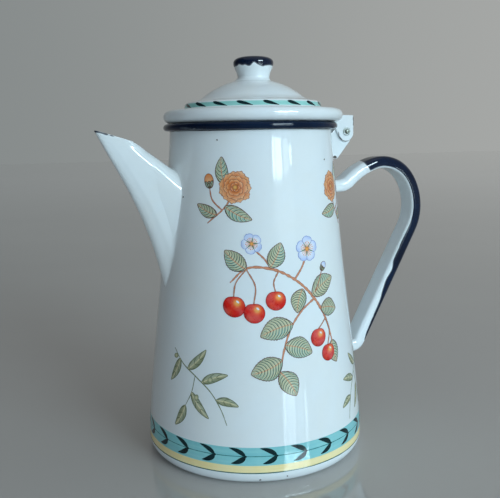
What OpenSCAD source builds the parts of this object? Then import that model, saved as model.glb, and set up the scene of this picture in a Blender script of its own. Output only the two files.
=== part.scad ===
// Enamelled steel coffee pot: conical body, pelican spout, strap handle,
// domed lid with a hollow knob, hinged over the handle.
// Units are millimetres, +Z is up. The origin is the centre of the resting
// face. The handle points to +X and the spout to -X; XZ is the mirror plane.

/* [Body] */
// Radius of the body where it is widest, just above the foot
base_r = 65; // [64:0.25:66]
// Outer radius of the wall right under the rim
neck_r = 46.9; // [46.5:0.1:47.2]
// Height of the middle of the rolled rim
rim_z = 190.2; // [190:0.1:190.3]
// Radius of the rolled rim's round section
rim_bead_r = 2; // [1.6:0.1:2.05]
// Thickness of the enamelled sheet of the body
sheet_t = 1; // [0.8:0.1:1.2]
// Radius of the rounded edge of the foot
foot_round = 7; // [5:0.25:7.5]

/* [Spout] */
// Wall thickness of the spout
spout_t = 1; // [0.8:0.1:1.2]
// Diameter of the straining holes behind the spout
strain_d = 5; // [3:0.5:5.5]

/* [Handle] */
// Width of the handle strap
strap_w = 14; // [12:0.5:18]
// Depth of the handle strap
strap_t = 7.9; // [6:0.1:8.3]
// Wall thickness of the hollow strap
strap_wall = 1.2; // [0.8:0.1:1.6]

/* [Hinge] */
// Distance of the hinge pin from the pot's axis
pin_x = 61.6; // [61.4:0.1:61.8]
// Height of the hinge pin
pin_z = 186.9; // [186.7:0.1:187.1]
// Diameter of the hinge pin
pin_d = 2.6; // [2.2:0.1:3]
// Radial running clearance between the pin and the lid's ears
pin_clear = 0.06; // [0.02:0.01:0.1]
// Gap between the ears and the bracket's cheeks
cheek_gap = 0.3; // [0.2:0.05:0.4]

/* [Lid] */
// How far the lid sits towards the hinge
lid_shift = 1.8; // [1.2:0.1:2]
// Outer radius of the lid's rolled edge
lid_r = 51.95; // [51.5:0.05:52.2]
// Radius of the round section of the rolled edge
lid_roll_r = 3.65; // [3.4:0.05:3.7]
// Outer radius of the collar that drops into the mouth
collar_r = 43.6; // [42.5:0.1:43.8]
// Depth of the collar below the lid's flat
collar_h = 16.3; // [12:0.1:17]

/* [Knob] */
// Greatest radius of the knob
knob_r = 11.6; // [11:0.1:12.5]
// Radius of the knob's neck
knob_neck_r = 9.3; // [8.8:0.1:9.6]

/* [Hidden] */
$fn = 96;
e = 0.01;

// Outer profile of the body: radius, height
wall_z0 = 8;
wall_out = [[base_r - 0.02, wall_z0], [base_r - 0.3, 15], [base_r - 1.5, 30],
            [base_r - 3.7, 50], [base_r - 6, 70], [base_r - 11.8, 120],
            [(base_r - 16.3 + neck_r + 1.9) / 2, 165], [neck_r, 188]];
bead_r = 48.5;                       // centre radius of the rolled rim
lid_z = rim_z + rim_bead_r + 0.3;    // underside of the lid's rolled edge
roll_z = lid_z + lid_roll_r;         // centre height of the rolled edge
flat_z = roll_z + lid_roll_r;        // top of the lid's flat
roll_c = lid_r - lid_roll_r;         // centre radius of the rolled edge
lid_t = 1;                           // lid sheet
dome_R = 46.2;                       // sphere of the dome
dome_c = flat_z - 28.6;              // its centre height
// Hinge widths, as half distances from the mirror plane
br_in = 5;                           // inside of the bracket's cheeks
br_out = 6;                          // outside of the bracket's cheeks
ear_in = br_out + cheek_gap;
ear_out = ear_in + 1;

function arc_pts(cx, cy, r, a0, a1, n) =
    [for (i = [0:n]) let (a = a0 + (a1 - a0) * i / n) [cx + r * cos(a), cy + r * sin(a)]];
function rev(v) = [for (i = [len(v) - 1:-1:0]) v[i]];
function shift_r(v, d) = [for (p = v) [p[0] - d, p[1]]];

// Everything inside the outer surface of the body, for trimming what joins it
module body_core() {
    rotate_extrude() polygon(concat([[0, wall_z0]], wall_out, [[neck_r, 190], [0, 190]]));
}

// Conical wall with its rolled rim, one pressed and welded sheet
module body_wall() {
    color("white") difference() {
        union() {
            rotate_extrude() polygon(concat(wall_out, [[neck_r, rim_z]],
                [[neck_r - sheet_t, rim_z]], rev(shift_r(wall_out, sheet_t))));
            rotate_extrude() difference() {
                translate([bead_r, rim_z]) circle(r = rim_bead_r);
                translate([bead_r, rim_z]) circle(r = rim_bead_r - sheet_t);
            }
        }
        // straining holes, in rows behind the spout
        for (h = [[0, 112], [-4, 121], [4, 121], [-4, 130], [4, 130],
                  [-7, 139], [0, 139], [7, 139], [-7, 148], [0, 148], [7, 148],
                  [-4, 157], [4, 157]])
            translate([-40, h[0], h[1]]) rotate([0, -90, 0]) cylinder(d = strain_d, h = 25, $fn = 32);
    }
}

// Pressed bottom with its rounded foot
module base_pan() {
    ro = base_r; ri = foot_round;
    color("white") rotate_extrude() difference() {
        polygon(concat([[0, 0]], arc_pts(ro - ri, ri, ri, -90, 0, 8),
                       [[ro - 0.02, wall_z0], [0, wall_z0]]));
        polygon(concat([[0, sheet_t]], arc_pts(ro - ri, ri, ri - sheet_t, -90, 0, 8),
                       [[ro - 0.02 - sheet_t, wall_z0], [ro - 0.02 - sheet_t, wall_z0 + 1], [0, wall_z0 + 1]]));
    }
}

// Spout: two flat sides meeting in a rounded ridge, arched on top, open at the lip.
// s is how far the surface lies inside the outer one.
module ball(x, y, z, r, s) { translate([x, y, z]) sphere(r = r - s, $fn = 24); }
module pair(x, y, z, r, s) { ball(x, y, z, r, s); ball(x, -y, z, r, s); }
module spout_form(s) {
    // beak
    hull() {
        ball(-89.3, 0, 187.2, 1.9, s);
        ball(-78.6, 0, 169, 2.6, s);
        ball(-66.6, 0, 145, 3, s);
        pair(-70.5, 2.6, 179.6, 3.4, s);
        pair(-43.5, 8.2, 160, 5.4, s);
        pair(-43, 8.9, 150, 4.6, s);
        ball(-45, 0, 163.4, 5.2, s);
    }
    // middle
    hull() {
        ball(-66.6, 0, 145, 3, s);
        ball(-59.6, 0, 128, 3, s);
        pair(-43.5, 8.2, 160, 5.4, s);
        pair(-43, 8.9, 150, 4.6, s);
        pair(-44.5, 7, 128, 4, s);
    }
    // root
    hull() {
        ball(-59.6, 0, 128, 3, s);
        ball(-52.6, 0, 104, 3, s);
        pair(-44.5, 7, 128, 4, s);
    }
}
module spout() {
    color("white") difference() {
        spout_form(0);
        spout_form(spout_t);
        body_core();
        // the mouth, cut along the lip
        rotate([90, 0, 0]) linear_extrude(height = 40, center = true)
            polygon([[-100, 191.4], [-91.6, 188.5], [-71.5, 181.9], [-70.2, 186], [-70.2, 205], [-100, 205]]);
    }
}

// Section of the hollow strap: u across its depth, v across its width
function strap_sec(s) = let (t = strap_t, w = strap_w / 2, ro = 3.2, ri = 1.8) concat(
    arc_pts(t - ro, w - ro, ro - s, 0, 90, 5), arc_pts(ri, w - ri, ri - s, 90, 180, 4),
    arc_pts(ri, -w + ri, ri - s, 180, 270, 4), arc_pts(t - ro, -w + ro, ro - s, 270, 360, 5));
// A bend from angle a0 to a1 round c; the outer face has radius ro. Inward bends carry it on their inner side.
module strap_arc(c, ro, a0, a1, s, inward = false) {
    translate([c[0], 0, c[1]]) rotate([90, 0, 0]) rotate([0, 0, a0]) rotate_extrude(angle = a1 - a0)
        if (inward) translate([ro + strap_t, 0]) mirror([1, 0]) polygon(strap_sec(s));
        else translate([ro - strap_t, 0]) polygon(strap_sec(s));
}
// A straight length from p, running in direction d
module strap_run(p, d, len, s) {
    translate([p[0], 0, p[1]]) rotate([90, 0, 0]) rotate([0, 0, d + 90]) translate([-strap_t, 0, 0])
        rotate([90, 0, 0]) linear_extrude(height = len) polygon(strap_sec(s));
}
// Path of the strap's outer face. It leaves the body level, turns up in a short bend
// and follows three more bends over the top, before a straight run to the foot.
arm_d = 43; last_d = -119.1;         // directions where the arm's bend starts and the straight run begins
arm_c = [91.7, 131]; top_c = [91.7, 140.4]; side_c = [77.4, 140.4];
arm_r = 39.6; top_r = 30.2; side_r = 44.5;
root_r = 3; bend_r = 9.5; foot_z = 45.1;
function side(d) = [-sin(d), cos(d)];
root_c = arm_c + (arm_r + root_r) * side(arm_d);
last_p = side_c + side_r * side(last_d);
run_len = (last_p[1] - foot_z - bend_r * (1 + cos(last_d))) / -sin(last_d);
bend_c = last_p + run_len * [cos(last_d), sin(last_d)] - bend_r * side(last_d);
module strap_form(s) {
    strap_run([root_c[0] - 16, root_c[1] - root_r], 0, 16, s);
    strap_arc(root_c, root_r, -90, arm_d - 90, s, true);
    strap_arc(arm_c, arm_r, 90, arm_d + 90.4, s);
    strap_arc(top_c, top_r, 0, 90, s);
    strap_arc(side_c, side_r, 0, last_d + 89.6, s);
    strap_run(last_p, last_d, run_len, s);
    strap_arc(bend_c, bend_r, -90, last_d + 91, s);
    strap_run([bend_c[0], foot_z], 180, 14, s);
}
module handle() {
    color("midnightblue") difference() {
        strap_form(0);
        strap_form(strap_wall);
        body_core();
    }
}

module plate(y0, y1) { // flat plates, mirrored about the XZ plane
    for (m = [0, 1]) mirror([0, m, 0]) translate([0, y1, 0]) rotate([90, 0, 0])
        linear_extrude(height = y1 - y0) children();
}
// Folded bracket under the hinge: two cheeks and a slanted web
module hinge_bracket() {
    color("white") difference() {
        union() {
            plate(br_in, br_out) {
                polygon([[44, 170.5], [55.8, 170.5], [64.8, 181.1], [65.2, pin_z], [pin_x, pin_z + 3.6],
                         [58.5, 190], [54.5, 188.6], [51.5, 185.8], [44, 179]]);
                translate([pin_x, pin_z]) circle(r = 3.6);
            }
            rotate([90, 0, 0]) linear_extrude(height = 2 * br_out, center = true)
                polygon([[55.8, 170.5], [64.8, 181.1], [64, 181.75], [54.6, 170.7]]);
        }
        body_core();
        translate([pin_x, 0, pin_z]) rotate([90, 0, 0]) cylinder(d = pin_d, h = 30, center = true);
    }
}

// Riveted hinge pin with a domed head at each end
module hinge_pin() {
    color("slategray") translate([pin_x, 0, pin_z]) rotate([90, 0, 0]) {
        cylinder(d = pin_d, h = 2 * (ear_out + 0.62), center = true);
        for (m = [0, 1]) mirror([0, 0, m]) translate([0, 0, ear_out + 0.6])
            rotate_extrude() polygon([[0, 0], [1.8, 0], [1.8, 0.35], [1.5, 0.7], [0.9, 0.95], [0, 1.05]]);
    }
}
// Washers between the ears and the pin's heads
module hinge_washers() {
    color("lightgray") for (m = [0, 1]) mirror([0, m, 0])
        translate([pin_x, ear_out + 0.6, pin_z]) rotate([90, 0, 0]) difference() {
            cylinder(d = 5.2, h = 0.5);
            translate([0, 0, -1]) cylinder(d = pin_d, h = 3);
        }
}

// Outline of the lid's sheet, from the middle of the dome to the rolled edge
function dome_pts(R, a1, n) = [for (i = [0:n]) let (a = a1 * i / n) [R * sin(a), dome_c + R * cos(a)]];
lid_out = concat(dome_pts(dome_R, 40.8, 8), [[33, flat_z + 5.3], [38.3, flat_z + 4.2], [39.1, flat_z + 3.5],
    [39.9, flat_z + 0.8], [41, flat_z], [roll_c, flat_z]]);
lid_in = concat(dome_pts(dome_R - lid_t, 40.4, 8), [[32.8, flat_z + 4.3], [37.7, flat_z + 3.3], [38.2, flat_z + 2.9],
    [39, flat_z], [40.2, flat_z - lid_t], [roll_c, flat_z - lid_t]]);
module lid_core() { // the lid filled solid, for trimming the ears
    translate([lid_shift, 0, 0]) rotate_extrude() union() {
        polygon(concat([[0, lid_z]], lid_out, [[roll_c, lid_z]]));
        translate([roll_c, roll_z]) circle(r = lid_roll_r);
    }
}
// Pressed lid: dome, step and rolled edge
module lid_shell() {
    color("white") translate([lid_shift, 0, 0]) union() {
        rotate_extrude() polygon(concat(lid_out, rev(lid_in)));
        rotate_extrude() difference() {
            translate([roll_c, roll_z]) circle(r = lid_roll_r);
            translate([roll_c, roll_z]) circle(r = lid_roll_r - lid_t);
            translate([roll_c - 5, roll_z - 2.4]) square([4, 3.4]);
        }
    }
}
// Collar that drops into the mouth, hung from the underside of the lid
module lid_collar() {
    z1 = flat_z - lid_t;
    color("white") translate([lid_shift, 0, 0]) rotate_extrude()
        polygon([[collar_r, z1], [collar_r, z1 - collar_h], [collar_r - 1, z1 - collar_h],
                 [collar_r - 1, z1 - 1], [collar_r - 2.6, z1 - 1], [collar_r - 2.6, z1]]);
}
// Hollow pressed knob
module knob() {
    n = knob_neck_r; w = knob_r; z = dome_c + 45.25;
    color("midnightblue") translate([lid_shift, 0, 0]) rotate_extrude() polygon([
        [n, z], [n - 0.1, z + 1.8], [n + 0.3, z + 3.8], [n + 1.2, z + 6.2], [w - 0.15, z + 8.4], [w, z + 9.8],
        [w - 0.4, z + 11.1], [w - 1.9, z + 12.5], [6, z + 13.35], [0, z + 13.65],
        [0, z + 12.65], [5.8, z + 12.35], [w - 2.5, z + 11.6], [w - 1.3, z + 10.7], [w - 1, z + 9.8],
        [w - 1.15, z + 8.6], [n + 0.2, z + 6.5], [n - 0.7, z + 4], [n - 1.1, z + 1.9], [n - 1, z + 0.21]]);
}
// Folded ear on the lid's edge: two cheeks and a rear web
module lid_hinge_ear() {
    top = flat_z - 3; c = [pin_x - 0.5, pin_z - 0.5]; r = 5.5;
    color("white") difference() {
        union() {
            plate(ear_in, ear_out) {
                polygon([[48, top], [c[0] + r, top], [c[0] + r, c[1]], c, [c[0] - 5.15, c[1] - 1.9],
                         [53.6, 188.9], [52.2, 193], [50, 194.5]]);
                translate(c) circle(r = r);
            }
            translate([c[0] + r - 1, -ear_out, pin_z + 5.2]) cube([1, 2 * ear_out, top - pin_z - 5.2]);
        }
        lid_core();
        translate([pin_x, 0, pin_z]) rotate([90, 0, 0]) cylinder(d = pin_d + 2 * pin_clear, h = 30, center = true);
    }
}

body_wall();
base_pan();
spout();
handle();
hinge_bracket();
hinge_pin();
hinge_washers();
lid_shell();
lid_collar();
knob();
lid_hinge_ear();
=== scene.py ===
"""Looks for the enamelled coffee pot: smooth enamel shells, spout, hand-dipped handle, hinge, painted bands and sprigs."""

import math

import bmesh
import bpy
import numpy as np
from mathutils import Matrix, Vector
from mathutils.geometry import delaunay_2d_cdt

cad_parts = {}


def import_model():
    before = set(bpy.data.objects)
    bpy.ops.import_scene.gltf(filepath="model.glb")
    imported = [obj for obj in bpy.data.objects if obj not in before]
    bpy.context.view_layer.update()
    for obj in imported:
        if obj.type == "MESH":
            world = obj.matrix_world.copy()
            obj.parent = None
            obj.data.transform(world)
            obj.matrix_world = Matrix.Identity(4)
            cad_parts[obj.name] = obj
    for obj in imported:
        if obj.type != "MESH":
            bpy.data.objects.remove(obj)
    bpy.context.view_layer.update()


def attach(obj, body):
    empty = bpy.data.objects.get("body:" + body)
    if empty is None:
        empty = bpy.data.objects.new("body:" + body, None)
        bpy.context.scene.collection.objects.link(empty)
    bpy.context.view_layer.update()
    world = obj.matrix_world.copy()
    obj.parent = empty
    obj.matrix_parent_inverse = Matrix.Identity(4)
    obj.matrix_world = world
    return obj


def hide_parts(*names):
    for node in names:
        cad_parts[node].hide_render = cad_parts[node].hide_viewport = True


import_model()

MM = 0.001
SEG = 240                 # divisions round the body and the lid
pi = math.pi


# ---------------------------------------------------------------- small maths
def lin(c):
    """A display colour 0-255 as linear light."""
    return tuple(((v / 255 + 0.055) / 1.055) ** 2.4 if v / 255 > 0.04045 else v / 255 / 12.92 for v in c)


class Pchip:
    """Monotone cubic through points, for numbers or columns of numbers."""

    def __init__(self, x, y):
        self.x = np.asarray(x, float)
        self.y = np.asarray(y, float).reshape(len(self.x), -1)
        h = np.diff(self.x)[:, None]
        d = np.diff(self.y, axis=0) / h
        m = np.zeros_like(self.y)
        if len(self.x) > 2:
            w1 = 2 * h[1:] + h[:-1]
            w2 = h[1:] + 2 * h[:-1]
            same = d[:-1] * d[1:] > 0
            with np.errstate(divide="ignore", invalid="ignore"):
                hm = (w1 + w2) / (w1 / d[:-1] + w2 / d[1:])
            m[1:-1] = np.where(same, hm, 0)
        m[0], m[-1] = d[0], d[-1]
        self.m = m
        self.scalar = np.asarray(y).ndim == 1

    def __call__(self, t):
        t = np.asarray(t, float)
        shape = t.shape
        t = np.clip(t.ravel(), self.x[0], self.x[-1])
        i = np.clip(np.searchsorted(self.x, t, side="right") - 1, 0, len(self.x) - 2)
        h = (self.x[i + 1] - self.x[i])[:, None]
        s = ((t - self.x[i])[:, None]) / h
        a, b, ma, mb = self.y[i], self.y[i + 1], self.m[i] * h, self.m[i + 1] * h
        out = a * (2 * s**3 - 3 * s**2 + 1) + ma * (s**3 - 2 * s**2 + s) + b * (3 * s**2 - 2 * s**3) + mb * (s**3 - s**2)
        return out[:, 0].reshape(shape) if self.scalar else out.reshape(shape + (-1,))


def arc(cx, cy, r, a0, a1, n):
    return [(cx + r * math.cos(math.radians(a0 + (a1 - a0) * i / n)), cy + r * math.sin(math.radians(a0 + (a1 - a0) * i / n))) for i in range(n + 1)]


def filleted(pts, radii, closed=True, step=14, support=0.3):
    """A polygon with rounded corners and support points beside them, so that smooth shading stays flat on the flats."""
    n = len(pts)
    out = []
    for i in range(n):
        p = np.array(pts[i], float)
        r = radii[i] if isinstance(radii, (list, tuple)) else radii
        if not closed and i in (0, n - 1) or r <= 0:
            out.append(tuple(p))
            continue
        a = np.array(pts[i - 1], float) - p
        b = np.array(pts[(i + 1) % n], float) - p
        la, lb = np.linalg.norm(a), np.linalg.norm(b)
        a, b = a / la, b / lb
        ang = math.acos(np.clip(np.dot(a, b), -1, 1))
        if ang > pi - 0.02:
            out.append(tuple(p))
            continue
        cut = min(r / math.tan(ang / 2), la * 0.48, lb * 0.48)
        r = cut * math.tan(ang / 2)
        c = p + (a + b) / np.linalg.norm(a + b) * (r / math.sin(ang / 2))
        s, e = p + a * cut, p + b * cut
        a0 = math.atan2(*(s - c)[::-1])
        a1 = math.atan2(*(e - c)[::-1])
        d = (a1 - a0 + pi) % (2 * pi) - pi
        k = max(2, int(math.ceil(abs(math.degrees(d)) / step)))
        if support and la > 4 * cut:
            out.append(tuple(s + a * min(support, cut)))
        for j in range(k + 1):
            t = a0 + d * j / k
            out.append((c[0] + r * math.cos(t), c[1] + r * math.sin(t)))
        if support and lb > 4 * cut:
            out.append(tuple(e + b * min(support, cut)))
    return out


def wobble(seed, n=6, lo=1.0, hi=6.0):
    """A smooth, seeded wobble of x and y, between about -1 and 1."""
    rng = np.random.RandomState(seed)
    k = rng.uniform(lo, hi, (n, 2)) * rng.choice([-1, 1], (n, 2))
    ph = rng.uniform(0, 2 * pi, n)
    return lambda x, y: np.sin(np.asarray(x)[..., None] * k[:, 0] + np.asarray(y)[..., None] * k[:, 1] + ph).mean(-1) * 1.6


def smooth(t):
    t = np.clip(t, 0, 1)
    return t * t * (3 - 2 * t)


# ---------------------------------------------------------------- meshes
def make(name, verts, faces, material, body, colors=None, attrs=None, flat=False, normals=None):
    """A mesh object from millimetre points. It rides on a body and takes a slot."""
    me = bpy.data.meshes.new(name)
    me.from_pydata([tuple(v) for v in np.asarray(verts, float) * MM], [], [tuple(int(i) for i in f) for f in faces])
    me.validate(clean_customdata=False)
    me.update()
    me.polygons.foreach_set("use_smooth", [not flat] * len(me.polygons))
    if colors is not None:
        a = me.color_attributes.new("paint", "FLOAT_COLOR", "POINT")
        a.data.foreach_set("color", np.column_stack([colors, np.ones(len(colors))]).astype(np.float32).ravel())
    for key, values in (attrs or {}).items():
        a = me.attributes.new(key, "FLOAT", "POINT")
        a.data.foreach_set("value", np.asarray(values, np.float32))
    if normals is not None:
        me.normals_split_custom_set([tuple(v) for v in normals])
    me.materials.append(material)
    ob = bpy.data.objects.new(name, me)
    bpy.context.scene.collection.objects.link(ob)
    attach(ob, body)
    return ob


def outward(ob):
    """Faces turned outwards, for closed shells."""
    bm = bmesh.new()
    bm.from_mesh(ob.data)
    bmesh.ops.recalc_face_normals(bm, faces=bm.faces)
    bm.to_mesh(ob.data)
    bm.free()
    ob.data.update()
    return ob


def revolved(profile, cx=0.0, seg=SEG, closed=True):
    """Points and faces of a profile (radius, height) turned about Z through (cx, 0). Points on the axis become one point."""
    verts, rows = [], []
    for r, z in profile:
        if r < 1e-6:
            rows.append([len(verts)])
            verts.append((cx, 0, z))
        else:
            rows.append(list(range(len(verts), len(verts) + seg)))
            verts += [(cx + r * math.cos(2 * pi * k / seg), r * math.sin(2 * pi * k / seg), z) for k in range(seg)]
    faces = []
    n = len(rows)
    for i in range(n if closed else n - 1):
        a, b = rows[i], rows[(i + 1) % n]
        if len(a) == 1 and len(b) == 1:
            continue
        for k in range(seg):
            l = (k + 1) % seg
            if len(a) == 1:
                faces.append((a[0], b[l], b[k]))
            elif len(b) == 1:
                faces.append((a[k], a[l], b[0]))
            else:
                faces.append((a[k], a[l], b[l], b[k]))
    return verts, faces


def about_y(profile, x0, z0, seg=40):
    """The same about an axis along Y through (x0, z0): profile is (radius, y)."""
    verts, faces = revolved(profile, 0, seg)
    return [(x0 + v[0], v[2], z0 + v[1]) for v in verts], faces


def joined(parts):
    """Several (verts, faces) as one."""
    verts, faces = [], []
    for v, f in parts:
        n = len(verts)
        verts += [tuple(p) for p in v]
        faces += [tuple(i + n for i in q) for q in f]
    return verts, faces


# ---------------------------------------------------------------- materials
class Mat:
    """A node material built up in code, on object coordinates in metres."""

    def __init__(self, name):
        self.m = bpy.data.materials.new(name)
        self.m.use_nodes = True
        self.t = self.m.node_tree
        self.t.nodes.clear()
        self.out = self.n("ShaderNodeOutputMaterial")
        self.b = self.n("ShaderNodeBsdfPrincipled")
        self.l(self.b.outputs[0], self.out.inputs[0])
        self.co = self.n("ShaderNodeTexCoord").outputs["Object"]

    def n(self, kind, **props):
        x = self.t.nodes.new(kind)
        for k, v in props.items():
            setattr(x, k, v)
        return x

    def l(self, a, b):
        self.t.links.new(a, b)

    def put(self, socket, value):
        if isinstance(value, bpy.types.NodeSocket):
            self.l(value, socket)
        else:
            socket.default_value = value

    def noise(self, scale, detail=2.0, rough=0.5, dist=0.0, at=None):
        x = self.n("ShaderNodeTexNoise")
        self.l(at or self.co, x.inputs["Vector"])
        x.inputs["Scale"].default_value = scale
        x.inputs["Detail"].default_value = detail
        x.inputs["Roughness"].default_value = rough
        x.inputs["Distortion"].default_value = dist
        return x.outputs["Fac"]

    def stretched(self, sx, sy, sz):
        x = self.n("ShaderNodeMapping")
        self.l(self.co, x.inputs[0])
        x.inputs["Scale"].default_value = (sx, sy, sz)
        return x.outputs[0]

    def ramp(self, value, a, b, c=0.0, d=1.0, smoothstep=False):
        x = self.n("ShaderNodeMapRange")
        if smoothstep:
            x.interpolation_type = "SMOOTHSTEP"
        self.put(x.inputs[0], value)
        for i, v in enumerate((a, b, c, d)):
            self.put(x.inputs[i + 1], v)
        return x.outputs[0]

    def math(self, op, a, b=0.0, c=0.0):
        x = self.n("ShaderNodeMath", operation=op)
        self.put(x.inputs[0], a)
        self.put(x.inputs[1], b)
        self.put(x.inputs[2], c)
        return x.outputs[0]

    def mix(self, fac, a, b, mode="MIX"):
        x = self.n("ShaderNodeMix", data_type="RGBA", blend_type=mode)
        for s, v in ((x.inputs[0], fac), (x.inputs[6], a), (x.inputs[7], b)):
            if isinstance(v, tuple) and len(v) == 3:
                v = v + (1.0,)
            self.put(s, v)
        return x.outputs[2]

    def attr(self, name, what="Fac"):
        x = self.n("ShaderNodeAttribute", attribute_name=name)
        return x.outputs[what]

    def bump(self, height, distance, under=None, strength=1.0):
        x = self.n("ShaderNodeBump")
        x.inputs["Strength"].default_value = strength
        x.inputs["Distance"].default_value = distance
        self.l(height, x.inputs["Height"])
        if under is not None:
            self.l(under, x.inputs["Normal"])
        return x.outputs[0]

    def gloss(self, rough=0.08, wave=1.0):
        """Fired glass: wavy at the scale of the sheet, faint orange peel, small changes of gloss."""
        broad = self.noise(34, 1.5, 0.45, 0.2)
        fine = self.noise(420, 1.0, 0.5)
        n = self.bump(broad, 0.00022 * wave)
        n = self.bump(fine, 0.0000045 * wave, n)
        self.l(n, self.b.inputs["Normal"])
        r = self.ramp(self.noise(55, 4, 0.6, 0.6), 0.35, 0.75, rough * 0.8, rough * 1.6)
        self.l(r, self.b.inputs["Roughness"])
        self.b.inputs["IOR"].default_value = 1.52
        return self

    def color(self, value):
        if isinstance(value, tuple):
            value = value + (1.0,)
        self.put(self.b.inputs["Base Color"], value)
        return self


WHITE = (0.795, 0.862, 0.895)
WHITE_WARM = (0.80, 0.845, 0.85)
NAVY = (0.0005, 0.0060, 0.022)


def white_color(m):
    """White enamel: cool white, slow cloudy changes, sparse pin specks where the iron shows through."""
    c = m.mix(m.ramp(m.noise(26, 3, 0.55, 0.8), 0.35, 0.68), WHITE, WHITE_WARM)
    c = m.mix(m.ramp(m.noise(210, 3, 0.6), 0.40, 0.75, 0.0, 0.05), c, (0.60, 0.66, 0.69))
    v = m.n("ShaderNodeTexVoronoi")
    m.l(m.co, v.inputs["Vector"])
    v.inputs["Scale"].default_value = 58
    v.inputs["Randomness"].default_value = 1.0
    pick = m.n("ShaderNodeSeparateColor")
    m.l(v.outputs["Color"], pick.inputs[0])
    rare = m.math("GREATER_THAN", pick.outputs[0], 0.90)
    dot = m.ramp(v.outputs["Distance"], 0.010, 0.030, 1.0, 0.0, True)
    dot = m.math("MULTIPLY", m.math("MULTIPLY", dot, rare), 0.62)
    return m.mix(dot, c, (0.10, 0.10, 0.095))


def white_enamel(name="enamel_white"):
    m = Mat(name).gloss(0.042)
    return m.color(white_color(m)).m


def inside_enamel():
    """The same white inside the pot, a little yellowed by use towards the bottom."""
    m = Mat("enamel_white_inside").gloss(0.10)
    c = white_color(m)
    z = m.n("ShaderNodeSeparateXYZ")
    m.l(m.co, z.inputs[0])
    low = m.ramp(z.outputs[2], 0.0, 0.17, 0.55, 0.0, True)
    stain = m.math("MULTIPLY", low, m.ramp(m.noise(30, 5, 0.6, 1.0), 0.35, 0.7))
    return m.color(m.mix(stain, c, (0.62, 0.56, 0.44))).m


def navy_color(m):
    c = m.mix(m.ramp(m.noise(60, 3, 0.5, 0.5), 0.35, 0.7), NAVY, (0.0008, 0.0115, 0.038))
    return m.mix(m.ramp(m.noise(700, 2, 0.5), 0.55, 0.8, 0.0, 0.3), c, (0.004, 0.018, 0.06))


def navy_enamel(name="enamel_navy"):
    m = Mat(name).gloss(0.045)
    m.b.inputs["IOR"].default_value = 1.34
    return m.color(navy_color(m)).m


def two_tone(name, attribute="dip", grain=1.0):
    """White enamel with a hand-dipped navy edge: navy where the attribute, in millimetres, is above 0."""
    m = Mat(name).gloss(0.045)
    m.b.inputs["IOR"].default_value = 1.47
    edge = m.math("ADD", m.attr(attribute), m.math("MULTIPLY", m.math("SUBTRACT", m.noise(260, 3, 0.6), 0.5), 1.1 * grain))
    edge = m.math("ADD", edge, m.math("MULTIPLY", m.math("SUBTRACT", m.noise(70, 2, 0.5), 0.5), 1.6 * grain))
    thin = m.ramp(edge, -0.10, 0.12, 0.0, 1.0, True)      # the navy goes from bare to full in a quarter of a millimetre
    full = m.ramp(edge, 0.0, 0.8, 0.72, 1.0, True)        # and is a little thin just inside its edge
    fac = m.math("MULTIPLY", thin, full)
    return m.color(m.mix(fac, white_color(m), navy_color(m))).m


def painted(name, rough=0.05, grain=0.10, scale=520, worn=0.11):
    """Fired-on paint: the mesh's own colours with the granulation of a brushed wash."""
    m = Mat(name).gloss(rough)
    c = m.attr("paint", "Color")
    g = m.ramp(m.noise(scale, 4, 0.65, 0.3), 0.3, 0.7, 0.0, 1.0)
    c = m.mix(g, m.mix(1.0, c, (1 - grain,) * 3, "MULTIPLY"), c)
    w = m.ramp(m.noise(130, 3, 0.6, 0.8), 0.42, 0.72, 0.0, worn)
    c = m.mix(w, c, (0.86, 0.90, 0.90))
    return m.color(c).m


def band_paint(name, a, b):
    """A banded colour laid on a turntable: long streaks round the pot, thicker and thinner."""
    m = Mat(name).gloss(0.05)
    streak = m.noise(1.0, 3, 0.6, 0.0, m.stretched(25, 25, 700))
    cloud = m.noise(90, 3, 0.55, 0.4)
    f = m.ramp(m.math("ADD", m.math("MULTIPLY", streak, 0.6), m.math("MULTIPLY", cloud, 0.4)), 0.36, 0.64)
    return m.color(m.mix(f, a, b)).m


def old_steel():
    m = Mat("steel_dull")
    m.b.inputs["Metallic"].default_value = 0.85
    c = m.mix(m.ramp(m.noise(500, 4, 0.65, 0.6), 0.35, 0.7), lin((150, 156, 146)), lin((104, 112, 102)))
    c = m.mix(m.ramp(m.noise(1200, 3, 0.6), 0.58, 0.75, 0.0, 0.7), c, lin((70, 52, 38)))
    m.color(c)
    m.l(m.ramp(m.noise(900, 3, 0.6), 0.3, 0.7, 0.28, 0.52), m.b.inputs["Roughness"])
    m.l(m.bump(m.noise(1600, 3, 0.6), 0.00003), m.b.inputs["Normal"])
    return m.m


def washer_metal():
    """A bright washer, mottled with pale patches like splashes of white enamel, and with small dull dark spots."""
    m = Mat("washer_bright")
    m.b.inputs["Metallic"].default_value = 0.25
    c = m.mix(m.ramp(m.noise(700, 3, 0.6, 0.5), 0.40, 0.66), lin((206, 216, 216)), lin((150, 158, 150)))
    c = m.mix(m.ramp(m.noise(1500, 3, 0.6), 0.60, 0.74, 0.0, 0.8), c, lin((74, 68, 58)))
    m.color(c)
    m.l(m.ramp(m.noise(900, 3, 0.6), 0.3, 0.7, 0.18, 0.4), m.b.inputs["Roughness"])
    m.l(m.bump(m.noise(1600, 3, 0.6), 0.00002), m.b.inputs["Normal"])
    return m.m


def chip_and_shade_metal():
    """Bare, darkened iron where the enamel has come off, also used as painted shade along the hinge ear's edges."""
    m = Mat("chip_iron_and_painted_shade")
    c = m.mix(m.ramp(m.noise(1500, 4, 0.7), 0.35, 0.7), (0.020, 0.019, 0.018), (0.085, 0.060, 0.045))
    m.color(c)
    m.l(m.ramp(m.noise(1800, 3, 0.6), 0.3, 0.7, 0.35, 0.65), m.b.inputs["Roughness"])
    m.l(m.bump(m.noise(2600, 3, 0.6), 0.00004), m.b.inputs["Normal"])
    return m.m


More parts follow.
